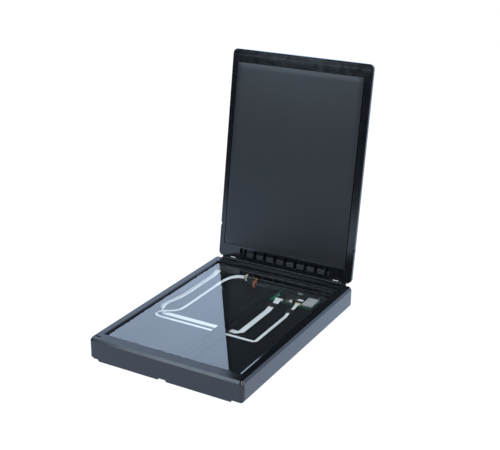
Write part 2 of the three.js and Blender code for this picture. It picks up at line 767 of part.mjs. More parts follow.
const headBack = headFront + headDepth;
const plugX = [-innerX + 9, -innerX + 19.2];
const headLeft = -halfWidth + headInLeft;
const headRight = halfWidth - headInRight;
const carrierTop = carrierBottom + carrierThickness;
const carrierFront = headFront - 1.5;
const scanY = (stripY[0] + stripY[1]) / 2;
const cheekX = [gearX - 1.6, gearX - 0.4];
const pinionX = [rackX[0] + 0.2, rackX[1] - 0.2];
const farCheekX = [pinionX[1] + 0.4, pinionX[1] + 1.6];
const motorX = [cheekX[0] - clearance - motorLength, cheekX[0] - clearance];

function headCarrier() {
  const x = [headLeft - 0.4, headRight + 0.4];
  const base = box(x, [carrierFront, headBack], [carrierBottom, carrierTop]);
  const front = box(x, [carrierFront, carrierFront + 1.2], [carrierBottom, headTop - 4]);
  const ends = [headLeft - 1.8, headRight + 0.3].map((left) => (
    box([left, left + 1.5], [carrierFront, headBack], [carrierBottom, headTop - 2])
  ));
  const gearFront = gearY - wheelPitch - trainModule;
  const nearCheek = box(cheekX, [gearFront, carrierFront + 0.5], [carrierBottom - 4, headTop - 2]);
  const farCheek = box(farCheekX, [gearY - 4, carrierFront + 0.5], [carrierBottom - 0.6, headTop - 8]);
  const shelf = box(
    [motorX[0], cheekX[1]], [motorY - 5, carrierFront + 0.5],
    [carrierBottom - 1.4, motorZ - motorRadius - clearance],
  );
  const overRail = trayFloor + railHeight + clearance;
  const shoe = box([railX - 5, railX + 5], [gearY, headBack], [overRail, carrierBottom + 0.5]);
  const keel = box(
    [railX - grooveWidth / 2 + clearance, railX + grooveWidth / 2 - clearance], [gearY, headBack],
    [overRail - grooveDepth, carrierBottom + 0.5],
  );
  const arm = box([farCheekX[0], railX - 4], [gearY + 2, carrierFront + 0.5], [overRail, carrierTop]);
  const carrier = join([base, front, ...ends, nearCheek, farCheek, shelf, shoe, keel, arm]);
  const motorHole = rod(
    'x', motorPitch + trainModule + 0.4, cheekX[0] - 1, cheekX[1] + 1, [motorY, motorZ], 20,
  );
  const shaftHole = rod('x', shaftRadius + 0.05, cheekX[0] - 1, farCheekX[1] + 1, [gearY, gearZ], 16);
  const plugHole = box(
    [plugX[0] - 0.4, plugX[1] + 0.4], [carrierFront - 1, carrierFront + 2],
    [carrierTop + 0.6, carrierTop + 3.6],
  );
  return cut(carrier, [motorHole, shaftHole, plugHole]);
}

function sensorHousing() {
  const body = box([headLeft, headRight], [headFront, headBack], [headBottom, headTop]);
  const inside = [headLeft + 3, headRight - 3];
  const boardBay = box(inside, [headFront + 1.2, headBack - 1.2], [headBottom - 1, headBottom + 1.6]);
  const lensBay = box(inside, [scanY - 1.3, scanY + 1.3], [headBottom, headTop - 1]);
  const lightBay = box(inside, [scanY - 4.6, scanY - 1], [headTop - 5.4, headTop - 1]);
  const windowBay = box(inside, [scanY - 5, scanY + 4], [headTop - 1.8, headTop + 1]);
  return cut(body, [boardBay, lensBay, lightBay, windowBay]);
}

function pressureSpring(x) {
  const rise = headBottom - carrierTop;
  const steps = [0, 1, 2, 3, 4, 5, 6].map((i) => i / 6);
  const arc = (t) => (rise - 0.4) * Math.sin(Math.PI * t);
  const upper = steps.map((t) => [x + 16 * (t - 0.5), carrierTop + 0.4 + arc(t)]);
  const lower = steps.toReversed().map((t) => [x + 16 * (t - 0.5), carrierTop + arc(t)]);
  return bar([...upper, ...lower], [scanY - 3, scanY + 3]);
}

const inHead = [headLeft + 3.4, headRight - 3.4];
part('head_carrier', headCarrier(), 'sensor');
part('sensor_housing', sensorHousing(), 'sensor');
part('sensor_window', box(inHead, [scanY - 4.7, scanY + 3.7], [headTop - 1.5, headTop - 0.3]), 'glass');
part('rod_lens_array', box(inHead, [scanY - 1, scanY + 1], [headBottom + 3, headTop - 2.4]), 'acetal');
part('light_guide', box(inHead, [scanY - 4.3, scanY - 1.3], [headTop - 5.1, headTop - 2.1]), 'glass');
part('sensor_board', box(
  inHead, [headFront + 1.5, headBack - 1.5], [headBottom, headBottom + 1.2],
), 'board');
for (const { name, sign } of sides) {
  const end = sign < 0 ? headLeft : headRight - 5;
  const padZ = [headTop, glassBottom - clearance];
  part(`pressure_spring_${name}`, pressureSpring(sign < 0 ? headLeft + 12 : headRight - 12), 'steel');
  part(`glide_pad_${name}`, box([end, end + 5], [scanY - 5, scanY + 3], padZ), 'acetal');
}
part('head_cable_plug', box(
  plugX, [headFront - 3.2, headFront - 0.1], [carrierTop + 0.9, carrierTop + 3.3],
), 'cream');

// Drive

const motorAt = [motorY, motorZ];
const gearAt = [gearY, gearZ];
const wheelX = [gearX, gearX + 3];

function driveMotor() {
  const can = rod('x', motorRadius, motorX[0], motorX[1] - 0.8, motorAt, 32);
  const lip = rod('x', motorRadius - 0.5, motorX[1] - 0.9, motorX[1], motorAt, 32);
  const recess = rod('x', motorRadius - 1.6, motorX[1] - 0.7, motorX[1] + 1, motorAt, 24);
  return can.add(lip).subtract(recess);
}

function motorPinion() {
  const teeth = gear({
    teeth: motorTeeth, module: trainModule, addendum: 0.6, dedendum: 0.45,
    phase: Math.atan2(meshRise, motorY - gearY) + Math.PI + Math.PI / motorTeeth,
  }, wheelX, motorAt);
  return teeth.add(rod('x', 1, motorX[1] - 0.2, wheelX[1] + 1, motorAt, 16));
}

function driveGear() {
  const wheel = gear({
    teeth: wheelTeeth, module: trainModule, addendum: 0.3, dedendum: 0.72,
    phase: Math.atan2(meshRise, motorY - gearY),
  }, wheelX, gearAt);
  const hub = rod('x', 2.8, wheelX[1] - 0.5, pinionX[0] + 0.5, gearAt, 24);
  const pinion = gear({
    teeth: pinionTeeth, module: rackModule, addendum: 0.7, dedendum: 0.55,
    phase: -Math.PI / 2 + Math.PI / pinionTeeth,
  }, pinionX, gearAt);
  const bore = rod('x', shaftRadius + 0.15, wheelX[0] - 1, pinionX[1] + 1, gearAt, 16);
  return join([wheel, hub, pinion]).subtract(bore);
}

part('drive_motor', driveMotor(), 'steel');
part('motor_end_plate', rod('x', motorRadius - 1.9, motorX[1] - 0.7, motorX[1] - 0.3, motorAt, 24)
  .subtract(rod('x', 1.3, motorX[0], motorX[1] + 1, motorAt, 16)), 'brass');
part('motor_connector', box(
  [motorX[0] - 5.2, motorX[0]], [motorY - 3.6, motorY + 3.6], [motorZ - 4.8, motorZ + 4.6],
).subtract(box(
  [motorX[0] - 6, motorX[0] - 1.8], [motorY - 2.8, motorY + 2.8], [motorZ - 4, motorZ + 3.8],
)), 'cream');
part('gear_shaft', rod('x', shaftRadius, cheekX[0], farCheekX[1], gearAt, 16), 'steel');
part('motor_pinion', motorPinion(), 'brass');
part('drive_gear', driveGear(), 'acetal');

// Hinges

const bladeTop = pivotZ - knuckleRadius;

function hingePost(x) {
  const blade = box(
    [x - bladeWidth / 2, x + bladeWidth / 2], [wellFront + 0.2, innerY - 0.2],
    [trayFloor + 3.6, bladeTop],
  );
  const half = knuckleWidth / 2;
  const neck = box([x - half, x + half], [wellFront + 0.2, pivotY], [bladeTop, bodyTop + 0.2]);
  const knuckle = rod('x', knuckleRadius, x - half, x + half, [pivotY, pivotZ], 24);
  const bore = rod('x', pinRadius + 0.1, x - half - 1, x + half + 1, [pivotY, pivotZ], 16);
  const slots = [-4.5, 0, 4.5].map((dx) => (
    box([x + dx - 1.2, x + dx + 1.2], [wellFront, innerY], [trayFloor + 6, bladeTop - 4])
  ));
  return cut(join([blade, neck, knuckle]), [bore, ...slots]);
}

for (const { name, sign } of sides) {
  const x = sign * hingeX;
  const half = knuckleReach - clearance;
  part(`hinge_post_${name}`, hingePost(x), 'frame');
  part(`hinge_pin_${name}`, rod('x', pinRadius, x - half, x + half, [pivotY, pivotZ], 16), 'steel');
}

// Lid
// Drawn lying on its back: Y runs from the hinge to the free end, Z = 0 is the rim, +Z is inwards.

const lidEnd = bodyDepth;
const hinge = { y: pinBack, z: lidGap - pinRise };
const lid = new THREE.Group();
lid.position.set(0, pivotY, pivotZ);
lid.rotation.x = THREE.MathUtils.degToRad(180 - lidOpen);
const lidBody = new THREE.Group();
lidBody.position.set(0, -hinge.y, -hinge.z);
lid.add(lidBody);
root.add(lid);

const lidHalf = lidWidth / 2;
const crownAt = (x) => lidEdge + lidCrown * (1 - (x / lidHalf) ** 2);

function crownedBlock(half, inset, [y0, y1]) {
  const steps = 20;
  const points = [[-half, 2], [half, 2]];
  for (let i = 0; i <= steps; i += 1) {
    const x = half - 2 * half * i / steps;
    points.push([x, -crownAt(x) + inset]);
  }
  return bar(points, [y0, y1]);
}

function lidCover() {
  const outer = crownedBlock(lidHalf, 0, [lidStart, lidEnd]).intersect(
    roundedPlate([-lidHalf, lidHalf], [lidStart, lidEnd], [-40, 0], lidCorner),
  );
  const inX = lidHalf - lidWall;
  const inY = [lidStart + lidWall, lidEnd - lidWall];
  const inner = crownedBlock(inX, lidWall, inY).intersect(
    roundedPlate([-inX, inX], inY, [-40, 1], lidCorner - lidWall),
  );
  const notch = box([-beamEnd - 0.6, beamEnd + 0.6], [lidStart - 1, lidStart + lidWall + 0.1], [-4, 1]);
  const gaps = sides.map(({ sign }) => (
    box(span(sign, lidHalf - lidWall - 0.5, lidHalf + 1), [54.5, 59.5], [-2.2, 1])
  ));
  return cut(outer, [inner, notch, ...gaps]);
}

const frameGap = 0.3;
const frameX = lidHalf - lidWall - frameGap;
const frameY = [lidStart + lidWall + frameGap, lidEnd - lidWall - frameGap];
const beamEnd = frameX - 6; // ends of the edge round the hinge axis
const ribEnd = hingeX - 12;
const ribsAside = Math.floor((ribEnd - 4) / ribPitch);
const ribs = Array.from({ length: 2 * ribsAside + 1 }, (_, i) => (i - ribsAside) * ribPitch);
const padEnd = lidEnd - padShort;
const padX = [-halfWidth + padInLeft, halfWidth - padInRight];
const pocketY = [8.4, 21.6];
const crossRib = 11.4;

function ear(x) {
  const disc = rod('x', knuckleRadius, x, x + earWidth, [hinge.y, hinge.z], 24);
  const web = box([x, x + earWidth], [hinge.y, frameY[0] + 1.5], [hinge.z - knuckleRadius, 0]);
  const bore = rod('x', pinRadius + 0.2, x - 1, x + earWidth + 1, [hinge.y, hinge.z], 16);
  return disc.add(web).subtract(bore);
}

// Rounded edge of the frame, which turns in place over the back of the body.
function beam(x) {
  const edge = rod('x', beamRadius, ...x, [hinge.y, hinge.z], 16);
  return edge.add(box(x, [hinge.y, frameY[0] + 1.5], [hinge.z - beamRadius, 0]));
}

function lidFrame() {
  const panel = roundedPlate(
    [-frameX, frameX], frameY, [-frameThickness, 0], lidCorner - lidWall - frameGap,
  );
  const ribBlock = box(
    [-ribEnd - ribThickness, ribEnd + ribThickness], [pocketY[0] - 1.4, pocketY[1] + 1.4],
    [-ribDepth, -0.5],
  );
  const recess = box(
    [padX[0] - 1.8, padX[1] + 1.8], [padStart - 1.4, padEnd + 1.4], [-padRecess, 1],
  );
  const groove = box([-lidHalf, lidHalf], [lidEnd - 9, lidEnd - 7.7], [-1, 1]);
  const edges = [-ribEnd, ...ribs, ribEnd];
  const pockets = [];
  for (let i = 0; i + 1 < edges.length; i += 1) {
    const xs = [edges[i] + ribThickness / 2, edges[i + 1] - ribThickness / 2];
    pockets.push(box(xs, [pocketY[0], crossRib], [-ribDepth + 1.2, 1]));
    pockets.push(box(xs, [crossRib + 1.2, pocketY[1]], [-ribDepth + 1.2, 1]));
  }
  const sensorHoles = [5.3, 8.8].map((inset) => (
    box([-lidHalf + inset - 0.9, -lidHalf + inset + 0.9], [lidEnd - 6.5, lidEnd - 4.5], [-2, 1])
  ));
  const latchNotch = box([lidHalf - 23.8, lidHalf - 20.4], [lidEnd - 7.2, lidEnd - 5.4], [-2, 1]);
  const tab = box([41.4, 46.4], [lidEnd - 6.4, lidEnd - 3.4], [-1, 0.5]);
  const ears = sides.flatMap(({ sign }) => {
    const x = sign * hingeX;
    const inner = knuckleWidth / 2 + clearance;
    return [ear(x - inner - earWidth), ear(x + inner)];
  });
  const beside = hingeX + knuckleReach + 0.6;
  const between = hingeX - knuckleReach - 0.6;
  const beams = [[-beamEnd, -beside], [-between, between], [beside, beamEnd]].map(beam);
  const frame = cut(panel.add(ribBlock), [recess, groove, latchNotch, ...pockets, ...sensorHoles]);
  return join([frame, tab, ...ears, ...beams]);
}

const padGap = 0.3;
const foamTop = -padGap;
const foamBottom = -padRecess + padGap;
const foamInset = 3;

part('lid_cover', lidCover(), 'lid', lidBody);
part('lid_frame', lidFrame(), 'frame', lidBody);
part('pad_foam', box(
  [padX[0] + foamInset, padX[1] - foamInset], [padStart + foamInset, padEnd - foamInset],
  [foamBottom, foamTop],
), 'foam', lidBody);
part('document_pad', roundedPlate(padX, [padStart, padEnd], [0, padThickness], 1), 'pad', lidBody);

// The origin is the bottom middle of the whole scanner with its lid open.
const extent = new THREE.Box3().setFromObject(root);
const middle = extent.getCenter(new THREE.Vector3());
const scanner = new THREE.Group();
root.position.set(-middle.x, -middle.y, -extent.min.z);
scanner.add(root);

export default scanner;
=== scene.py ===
import json
import math

import bmesh
import bpy
from mathutils import Matrix, Vector


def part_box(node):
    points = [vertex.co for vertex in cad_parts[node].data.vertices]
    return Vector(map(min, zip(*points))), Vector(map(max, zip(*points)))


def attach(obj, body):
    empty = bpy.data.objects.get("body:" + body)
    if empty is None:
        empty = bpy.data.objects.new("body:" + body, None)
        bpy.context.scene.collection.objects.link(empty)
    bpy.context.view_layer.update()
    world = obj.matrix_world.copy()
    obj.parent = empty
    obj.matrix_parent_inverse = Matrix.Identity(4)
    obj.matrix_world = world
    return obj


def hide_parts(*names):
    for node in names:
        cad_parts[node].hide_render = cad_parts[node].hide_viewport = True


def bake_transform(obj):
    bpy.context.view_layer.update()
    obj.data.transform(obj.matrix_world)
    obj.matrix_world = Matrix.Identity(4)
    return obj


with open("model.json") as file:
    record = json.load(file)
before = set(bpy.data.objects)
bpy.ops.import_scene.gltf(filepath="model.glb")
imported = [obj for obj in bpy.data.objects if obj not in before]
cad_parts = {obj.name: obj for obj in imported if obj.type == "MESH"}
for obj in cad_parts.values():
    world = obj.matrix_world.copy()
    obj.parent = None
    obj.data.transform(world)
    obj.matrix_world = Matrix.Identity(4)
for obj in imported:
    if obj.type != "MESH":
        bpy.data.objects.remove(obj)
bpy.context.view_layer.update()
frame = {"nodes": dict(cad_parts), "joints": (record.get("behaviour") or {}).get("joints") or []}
nodes = frame["nodes"]
joints = {joint["name"]: joint for joint in frame["joints"]}
mm = 0.001
print("frame loaded:", len(nodes), "solids")

housingLow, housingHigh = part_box("upper_housing")
bodyMiddle = (housingLow + housingHigh) / 2
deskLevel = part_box("foot_front_left")[0].z


# A node's output that can be used in sums.
class Wire:
    def __init__(self, finish, socket):
        self.finish = finish
        self.socket = socket

    def sum(self, operation, first, second=0.0):
        return self.finish.node("ShaderNodeMath", {"operation": operation}, {0: first, 1: second}).out(0)

    def __add__(self, other):
        return self.sum("ADD", self, other)

    def __sub__(self, other):
        return self.sum("SUBTRACT", self, other)

    def __mul__(self, other):
        return self.sum("MULTIPLY", self, other)

    def __radd__(self, other):
        return self.sum("ADD", other, self)

    def __rsub__(self, other):
        return self.sum("SUBTRACT", other, self)

    def __rmul__(self, other):
        return self.sum("MULTIPLY", other, self)

    def __gt__(self, level):
        return self.sum("GREATER_THAN", self, level)

    def __lt__(self, level):
        return self.sum("LESS_THAN", self, level)

    def sine(self):
        return self.sum("SINE", self)


# A node that has just been made, to take its outputs from.
class Made:
    def __init__(self, finish, node):
        self.finish = finish
        self.node = node

    def out(self, which):
        return Wire(self.finish, self.node.outputs[which])


# Edge masks, for rubbed wear and for painted edge highlights: the cosine of the turn where one starts and
# where it is full, and the patches it comes in.
edgeMaskSettings = {"rays": 4, "turn": (0.995, 0.86), "patch": (0.35, 0.7)}


# One set of shader nodes: a material's, or the world's.
class Finish:
    def __init__(self, owner):
        self.owner = owner
        owner.use_nodes = True
        self.tree = owner.node_tree
        self.tree.nodes.clear()

    def node(self, kind, settings=None, inputs=None):
        made = self.tree.nodes.new(kind)
        for key, value in (settings or {}).items():
            setattr(made, key, value)
        for key, value in (inputs or {}).items():
            if isinstance(value, Wire):
                self.tree.links.new(value.socket, made.inputs[key])
            else:
                made.inputs[key].default_value = value
        return Made(self, made)

    def place(self):
        return self.node("ShaderNodeTexCoord").out("Object")

    def axes(self, place):
        split = self.node("ShaderNodeSeparateXYZ", {}, {0: place})
        return split.out(0), split.out(1), split.out(2)

    def stretched(self, place, by):
        return self.node("ShaderNodeVectorMath", {"operation": "MULTIPLY"}, {0: place, 1: by}).out(0)

    def noise(self, place, size, detail=3.0):
        inputs = {"Vector": place, "Scale": 1 / size, "Detail": detail}
        return self.node("ShaderNodeTexNoise", {}, inputs).out(0)

    def cells(self, place, size, settings=None):
        return self.node("ShaderNodeTexVoronoi", settings or {}, {"Vector": place, "Scale": 1 / size})

    def spread(self, value, low, high, start=0.0, end=1.0):
        return self.node("ShaderNodeMapRange", {"clamp": True}, {
            "Value": value, "From Min": low, "From Max": high, "To Min": start, "To Max": end,
        }).out(0)

    def mix(self, share, first, second):
        return self.node("ShaderNodeMix", {"data_type": "RGBA"}, {
            0: share, 6: opaque(first), 7: opaque(second),
        }).out(2)

    # 1 on outside and inside corners within reach, 0 on the flats
    def edges(self, reach):
        soft = self.node("ShaderNodeBevel", {"samples": edgeMaskSettings["rays"]}, {"Radius": reach}).out(0)
        flat = self.node("ShaderNodeNewGeometry").out("Normal")
        turn = self.node("ShaderNodeVectorMath", {"operation": "DOT_PRODUCT"}, {0: soft, 1: flat})
        return self.spread(turn.out("Value"), *edgeMaskSettings["turn"])

    # The same, in patches: rubbed wear, and on some plastics a painted highlight along the edges
    def edgeMarks(self, place, reach, patchSize):
        return self.edges(reach) * self.spread(self.noise(place, patchSize), *edgeMaskSettings["patch"])

    def bump(self, height, depth, strength=1.0):
        inputs = {"Height": height, "Distance": depth, "Strength": strength}
        return self.node("ShaderNodeBump", {}, inputs).out(0)

    def surface(self, inputs):
        self.close(self.node("ShaderNodeBsdfPrincipled", {}, inputs).out(0))
        return self.owner

    def close(self, shader, kind="ShaderNodeOutputMaterial"):
        self.node(kind, {}, {0: shader})


def newFinish(name):
    return Finish(bpy.data.materials.new(name))


def opaque(value):
    return value if isinstance(value, Wire) else (*value, 1)


def brighter(colour, by):
    return tuple(part * by for part in colour)


def shade(colour, by):
    return tuple(min(1.0, part) for part in brighter(colour, by))


# A darker and a lighter colour, by the same share.
def tones(colour, share):
    return shade(colour, 1 - share), shade(colour, 1 + share)


# What all moulded plastics share.
moulding = {
    "edgePatchSize": 6 * mm, "patches": (0.3, 0.7), "tone": 0.12, "gloss": 0.03,
    "grainRough": 0.05, "wornRough": 0.08,
}


# Moulded plastic: patches of gloss, grain and lighter edges, which are rubbed wear and, on lidFrame and
# darkCore, a painted highlight.
def moulded(name, look):
    f = newFinish(name)
    place = f.place()
    patches = f.noise(place, look["patchSize"])
    grain = f.noise(place, look["grainSize"], 2.0)
    # Lighter edge colour: rubbed wear, and on lidFrame and darkCore a painted highlight
    edgeWearAndHighlightShare = f.edgeMarks(place, look["edge"], moulding["edgePatchSize"])
    patched = (patches, *moulding["patches"])
    base = f.mix(f.spread(*patched), *tones(look["colour"], moulding["tone"]))
    rough = f.spread(*patched, look["roughness"] - moulding["gloss"], look["roughness"] + moulding["gloss"])
    return f.surface({
        "Base Color": f.mix(edgeWearAndHighlightShare * look["edgeWearAndHighlightShare"], base, look["edgeWearAndHighlight"]),
        "Roughness": rough + grain * moulding["grainRough"] + edgeWearAndHighlightShare * moulding["wornRough"],
        "Normal": f.bump(grain, look["grainDepth"], look["bump"]),
        "IOR": look["ior"],
    })


# Sizes and depths are in millimetres.
# The edge colour and its share are rubbed wear, and for lidFrame and darkCore a painted highlight.
def plasticLook(colour, edgeWearAndHighlight, roughness, edgeWearAndHighlightShare, patchSize, grainSize, grainDepth, edge, bump=0.6, ior=1.5):
    return {
        "colour": colour, "edgeWearAndHighlight": edgeWearAndHighlight, "roughness": roughness, "edgeWearAndHighlightShare": edgeWearAndHighlightShare, "bump": bump, "ior": ior,
        "patchSize": patchSize * mm, "grainSize": grainSize * mm, "grainDepth": grainDepth * mm,
        "edge": edge * mm,
    }


plasticLooks = {
    "housing": plasticLook(
        (0.0018, 0.0024, 0.0036), (0.06, 0.065, 0.08), roughness=0.13, edgeWearAndHighlightShare=0.3,
        patchSize=14, grainSize=0.5, grainDepth=0.008, edge=0.5,
    ),
    "tray": plasticLook(
        (0.0009, 0.0012, 0.0016), (0.02, 0.02, 0.024), roughness=0.46, edgeWearAndHighlightShare=0.2,
        patchSize=22, grainSize=0.8, grainDepth=0.03, edge=0.5, ior=1.32,
    ),
    # Its light edge colour is a painted highlight along the rib edges.
    "lidFrame": plasticLook(
        (0.0016, 0.0021, 0.0029), (0.10, 0.12, 0.15), roughness=0.11, edgeWearAndHighlightShare=0.6,
        patchSize=12, grainSize=0.6, grainDepth=0.006, edge=0.4,
    ),
    "sensor": plasticLook(
        (0.006, 0.0065, 0.008), (0.04, 0.04, 0.045), roughness=0.34, edgeWearAndHighlightShare=0.3,
        patchSize=9, grainSize=0.5, grainDepth=0.03, edge=0.4,
    ),
    # Its pale edge colour is a painted highlight outlining the ferrites and other dark parts.
    "darkCore": plasticLook(
        (0.012, 0.013, 0.015), (0.34, 0.36, 0.37), roughness=0.3, edgeWearAndHighlightShare=0.9,
        patchSize=3, grainSize=0.3, grainDepth=0.02, edge=0.6,
    ),
    # A black sheet that paints shade over the board.
    "paintedShadeSheet": plasticLook(
        (0.004, 0.005, 0.005), (0.02, 0.02, 0.02), roughness=0.3, edgeWearAndHighlightShare=0.2,
        patchSize=12, grainSize=0.5, grainDepth=0.01, edge=0.2, ior=1.4,
    ),
    "chipBody": plasticLook(
        (0.42, 0.36, 0.24), (0.55, 0.50, 0.40), roughness=0.4, edgeWearAndHighlightShare=0.4,
        patchSize=2, grainSize=0.2, grainDepth=0.01, edge=0.1,
    ),
    "rubber": plasticLook(
        (0.012, 0.012, 0.013), (0.06, 0.06, 0.06), roughness=0.7, edgeWearAndHighlightShare=0.7,
        patchSize=4, grainSize=0.4, grainDepth=0.05, edge=0.8,
    ),
    "creamNylon": plasticLook(
        (0.74, 0.66, 0.50), (0.85, 0.80, 0.68), roughness=0.42, edgeWearAndHighlightShare=0.4,
        patchSize=3, grainSize=0.4, grainDepth=0.02, edge=0.3,
    ),
    "whiteNylon": plasticLook(
        (0.92, 0.93, 0.93), (0.9, 0.9, 0.9), roughness=0.42, edgeWearAndHighlightShare=0.4,
        patchSize=3, grainSize=0.4, grainDepth=0.02, edge=0.3,
    ),
    "whiteStrip": plasticLook(
        (0.80, 0.81, 0.80), (0.85, 0.85, 0.85), roughness=0.55, edgeWearAndHighlightShare=0.2,
        patchSize=8, grainSize=0.3, grainDepth=0.01, edge=0.2,
    ),
    "foam": plasticLook(
        (0.030, 0.030, 0.032), (0.06, 0.06, 0.06), roughness=0.95, edgeWearAndHighlightShare=0.3,
        patchSize=5, grainSize=0.9, grainDepth=0.25, edge=0.6, bump=1.0,
    ),
}
finishes = {name: moulded(name, look) for name, look in plasticLooks.items()}


# Glossy lid skin with hairline scratches and faint smears.
def glossLid(look):
    f = newFinish("lidGloss")
    place = f.place()
    hairs = f.noise(f.stretched(place, look["hairStretch"]), look["hairWidth"], 2.0)
    smears = f.noise(place, look["smearSize"], 4.0)
    edgeWearAndHighlightShare = f.edgeMarks(place, look["edge"], look["edgePatchSize"])
    base = f.mix(smears, *tones(look["colour"], look["tone"]))
    rough = f.spread(smears, *look["smears"], look["roughness"], look["roughness"] + look["smearRough"])
    return f.surface({
        "Base Color": f.mix(edgeWearAndHighlightShare * look["edgeWearAndHighlightShare"], base, look["edgeWearAndHighlight"]),
        "Roughness": rough + f.spread(hairs, *look["hairs"]) * look["hairRough"],
        "Normal": f.bump(f.noise(place, look["rippleSize"], 1.0), look["rippleDepth"], 0.5),
        "IOR": look["ior"],
    })


finishes["lidGloss"] = glossLid({
    "colour": (0.003, 0.0034, 0.0045), "tone": 0.15, "roughness": 0.08, "ior": 1.52,
    "edgeWearAndHighlight": (0.06, 0.06, 0.07), "edgeWearAndHighlightShare": 0.3, "edge": 0.5 * mm, "edgePatchSize": 5 * mm,
    "smearSize": 26 * mm, "smears": (0.45, 0.75), "smearRough": 0.1,
    "hairWidth": 0.5 * mm, "hairStretch": (1, 0.05, 0.05), "hairs": (0.6, 0.8), "hairRough": 0.03,
    "rippleSize": 40 * mm, "rippleDepth": 0.02 * mm,
})


# Finely pebbled sheet of the document pad.
def padSheet(look):
    f = newFinish("padSheet")
    place = f.place()
    pebbles = f.cells(place, look["pebble"], {"feature": "SMOOTH_F1"}).out(0)
    speck = f.spread(f.noise(place, look["speck"], 2.0), *look["specks"])
    clouds = f.spread(f.noise(place, look["cloud"]), *look["clouds"])
    base = f.mix(clouds, *tones(look["colour"], look["tone"]))
    low, high = look["roughness"] - look["gloss"], look["roughness"] + look["gloss"]
    return f.surface({
        "Base Color": f.mix(speck * look["speckShare"], base, shade(look["colour"], 2.0)),
        "Roughness": f.spread(pebbles, 0.0, 0.8, low, high),
        "Normal": f.bump(pebbles, look["pebbleDepth"], 0.6),
        "IOR": look["ior"],
    })


finishes["padSheet"] = padSheet({
    "colour": (0.0055, 0.0066, 0.0082), "tone": 0.06, "roughness": 0.38, "gloss": 0.06, "ior": 1.52,
    "pebble": 0.8 * mm, "pebbleDepth": 0.05 * mm, "cloud": 60 * mm, "clouds": (0.3, 0.7),
    "speck": 0.35 * mm, "specks": (0.55, 0.8), "speckShare": 0.2,
})


# Plate glass: what it mirrors is counted once, on the face that light comes in by.
def plateGlass(look):
    f = newFinish("plateGlass")
    smear = f.noise(f.place(), look["smearSize"])
    through = f.node("ShaderNodeBsdfTransparent", {}, {0: f.mix(smear, look["low"], look["high"])}).out(0)
    rough = f.spread(smear, *look["smears"], 0.0, look["smeared"])
    mirrored = {"Color": opaque(look["mirrored"]), "Roughness": rough}
    mirror = f.node("ShaderNodeBsdfGlossy", {}, mirrored).out(0)
    facing = f.node("ShaderNodeFresnel", {}, {"IOR": look["ior"]}).out(0)
    inside = f.node("ShaderNodeNewGeometry").out("Backfacing")
    share = facing * (1.0 - inside) * look["faces"]
    f.close(f.node("ShaderNodeMixShader", {}, {0: share, 1: through, 2: mirror}).out(0))
    return f.owner


finishes["plateGlass"] = plateGlass({
    "low": (0.91, 0.935, 0.94), "high": (0.94, 0.955, 0.96), "mirrored": (1.0, 1.0, 1.0),
    "ior": 1.52, "faces": 1.9, "smearSize": 40 * mm, "smears": (0.5, 0.8), "smeared": 0.03,
})


# What all metals share.
tarnishing = {
    "size": 5 * mm, "patches": (0.35, 0.75), "rough": 0.08, "edge": 0.3 * mm, "edgeShare": 0.4,
    "lineGloss": 0.06, "lineRough": 0.08, "lineDepth": 0.01 * mm,
}


# Drawn or turned metal with a little tarnish.
def metal(name, look):
    f = newFinish(name)
    place = f.place()
    drawn = f.noise(f.stretched(place, look["drawn"]), look["lineSize"], 2.0)
    tarnish = f.noise(place, tarnishing["size"], 4.0)
    base = f.mix(f.spread(tarnish, *tarnishing["patches"]), look["colour"], look["dull"])
    low, high = look["roughness"] - tarnishing["lineGloss"], look["roughness"] + tarnishing["lineRough"]
    edgeMarks = f.edges(tarnishing["edge"]) * tarnishing["edgeShare"]
    return f.surface({
        "Base Color": f.mix(edgeMarks, base, shade(look["colour"], 1.2)),
        "Metallic": look["metal"],
        "Roughness": f.spread(drawn, 0.3, 0.7, low, high) + tarnish * tarnishing["rough"],
        "Normal": f.bump(drawn, tarnishing["lineDepth"], 0.5),
    })


def metalLook(colour, dull, roughness, metal, lineSize, drawn):
    return {
        "colour": colour, "dull": dull, "roughness": roughness, "metal": metal,
        "lineSize": lineSize * mm, "drawn": drawn,
    }


# How far the drawn lines are stretched out: the smaller, the longer they run that way.
alongX = (0.15, 1, 1)
alongY = (1, 0.1, 1)
anyWay = (1, 1, 1)
turned = (1, 0.2, 0.2)
metalLooks = {
    "steel": metalLook(
        (0.60, 0.61, 0.62), (0.42, 0.43, 0.45), roughness=0.3, metal=1.0, lineSize=0.3, drawn=alongX,
    ),
    "tinPlate": metalLook(
        (0.52, 0.52, 0.52), (0.38, 0.38, 0.39), roughness=0.38, metal=0.55, lineSize=0.4, drawn=alongY,
    ),
    "shieldTin": metalLook(
        (0.80, 0.81, 0.82), (0.60, 0.61, 0.63), roughness=0.34, metal=0.35, lineSize=0.6, drawn=alongY,
    ),
    "motorCan": metalLook(
        (0.035, 0.036, 0.038), (0.02, 0.02, 0.022), roughness=0.36, metal=0.6, lineSize=0.3, drawn=alongX,
    ),
    "copperLacquer": metalLook(
        (0.62, 0.20, 0.06), (0.46, 0.13, 0.04), roughness=0.34, metal=0.25, lineSize=0.3, drawn=anyWay,
    ),
    "darkSteel": metalLook(
        (0.15, 0.16, 0.17), (0.09, 0.09, 0.10), roughness=0.34, metal=1.0, lineSize=0.3, drawn=alongX,
    ),
    "brass": metalLook(
        (0.70, 0.47, 0.22), (0.52, 0.35, 0.17), roughness=0.28, metal=1.0, lineSize=0.2, drawn=turned,
    ),
}
finishes.update({name: metal(name, look) for name, look in metalLooks.items()})


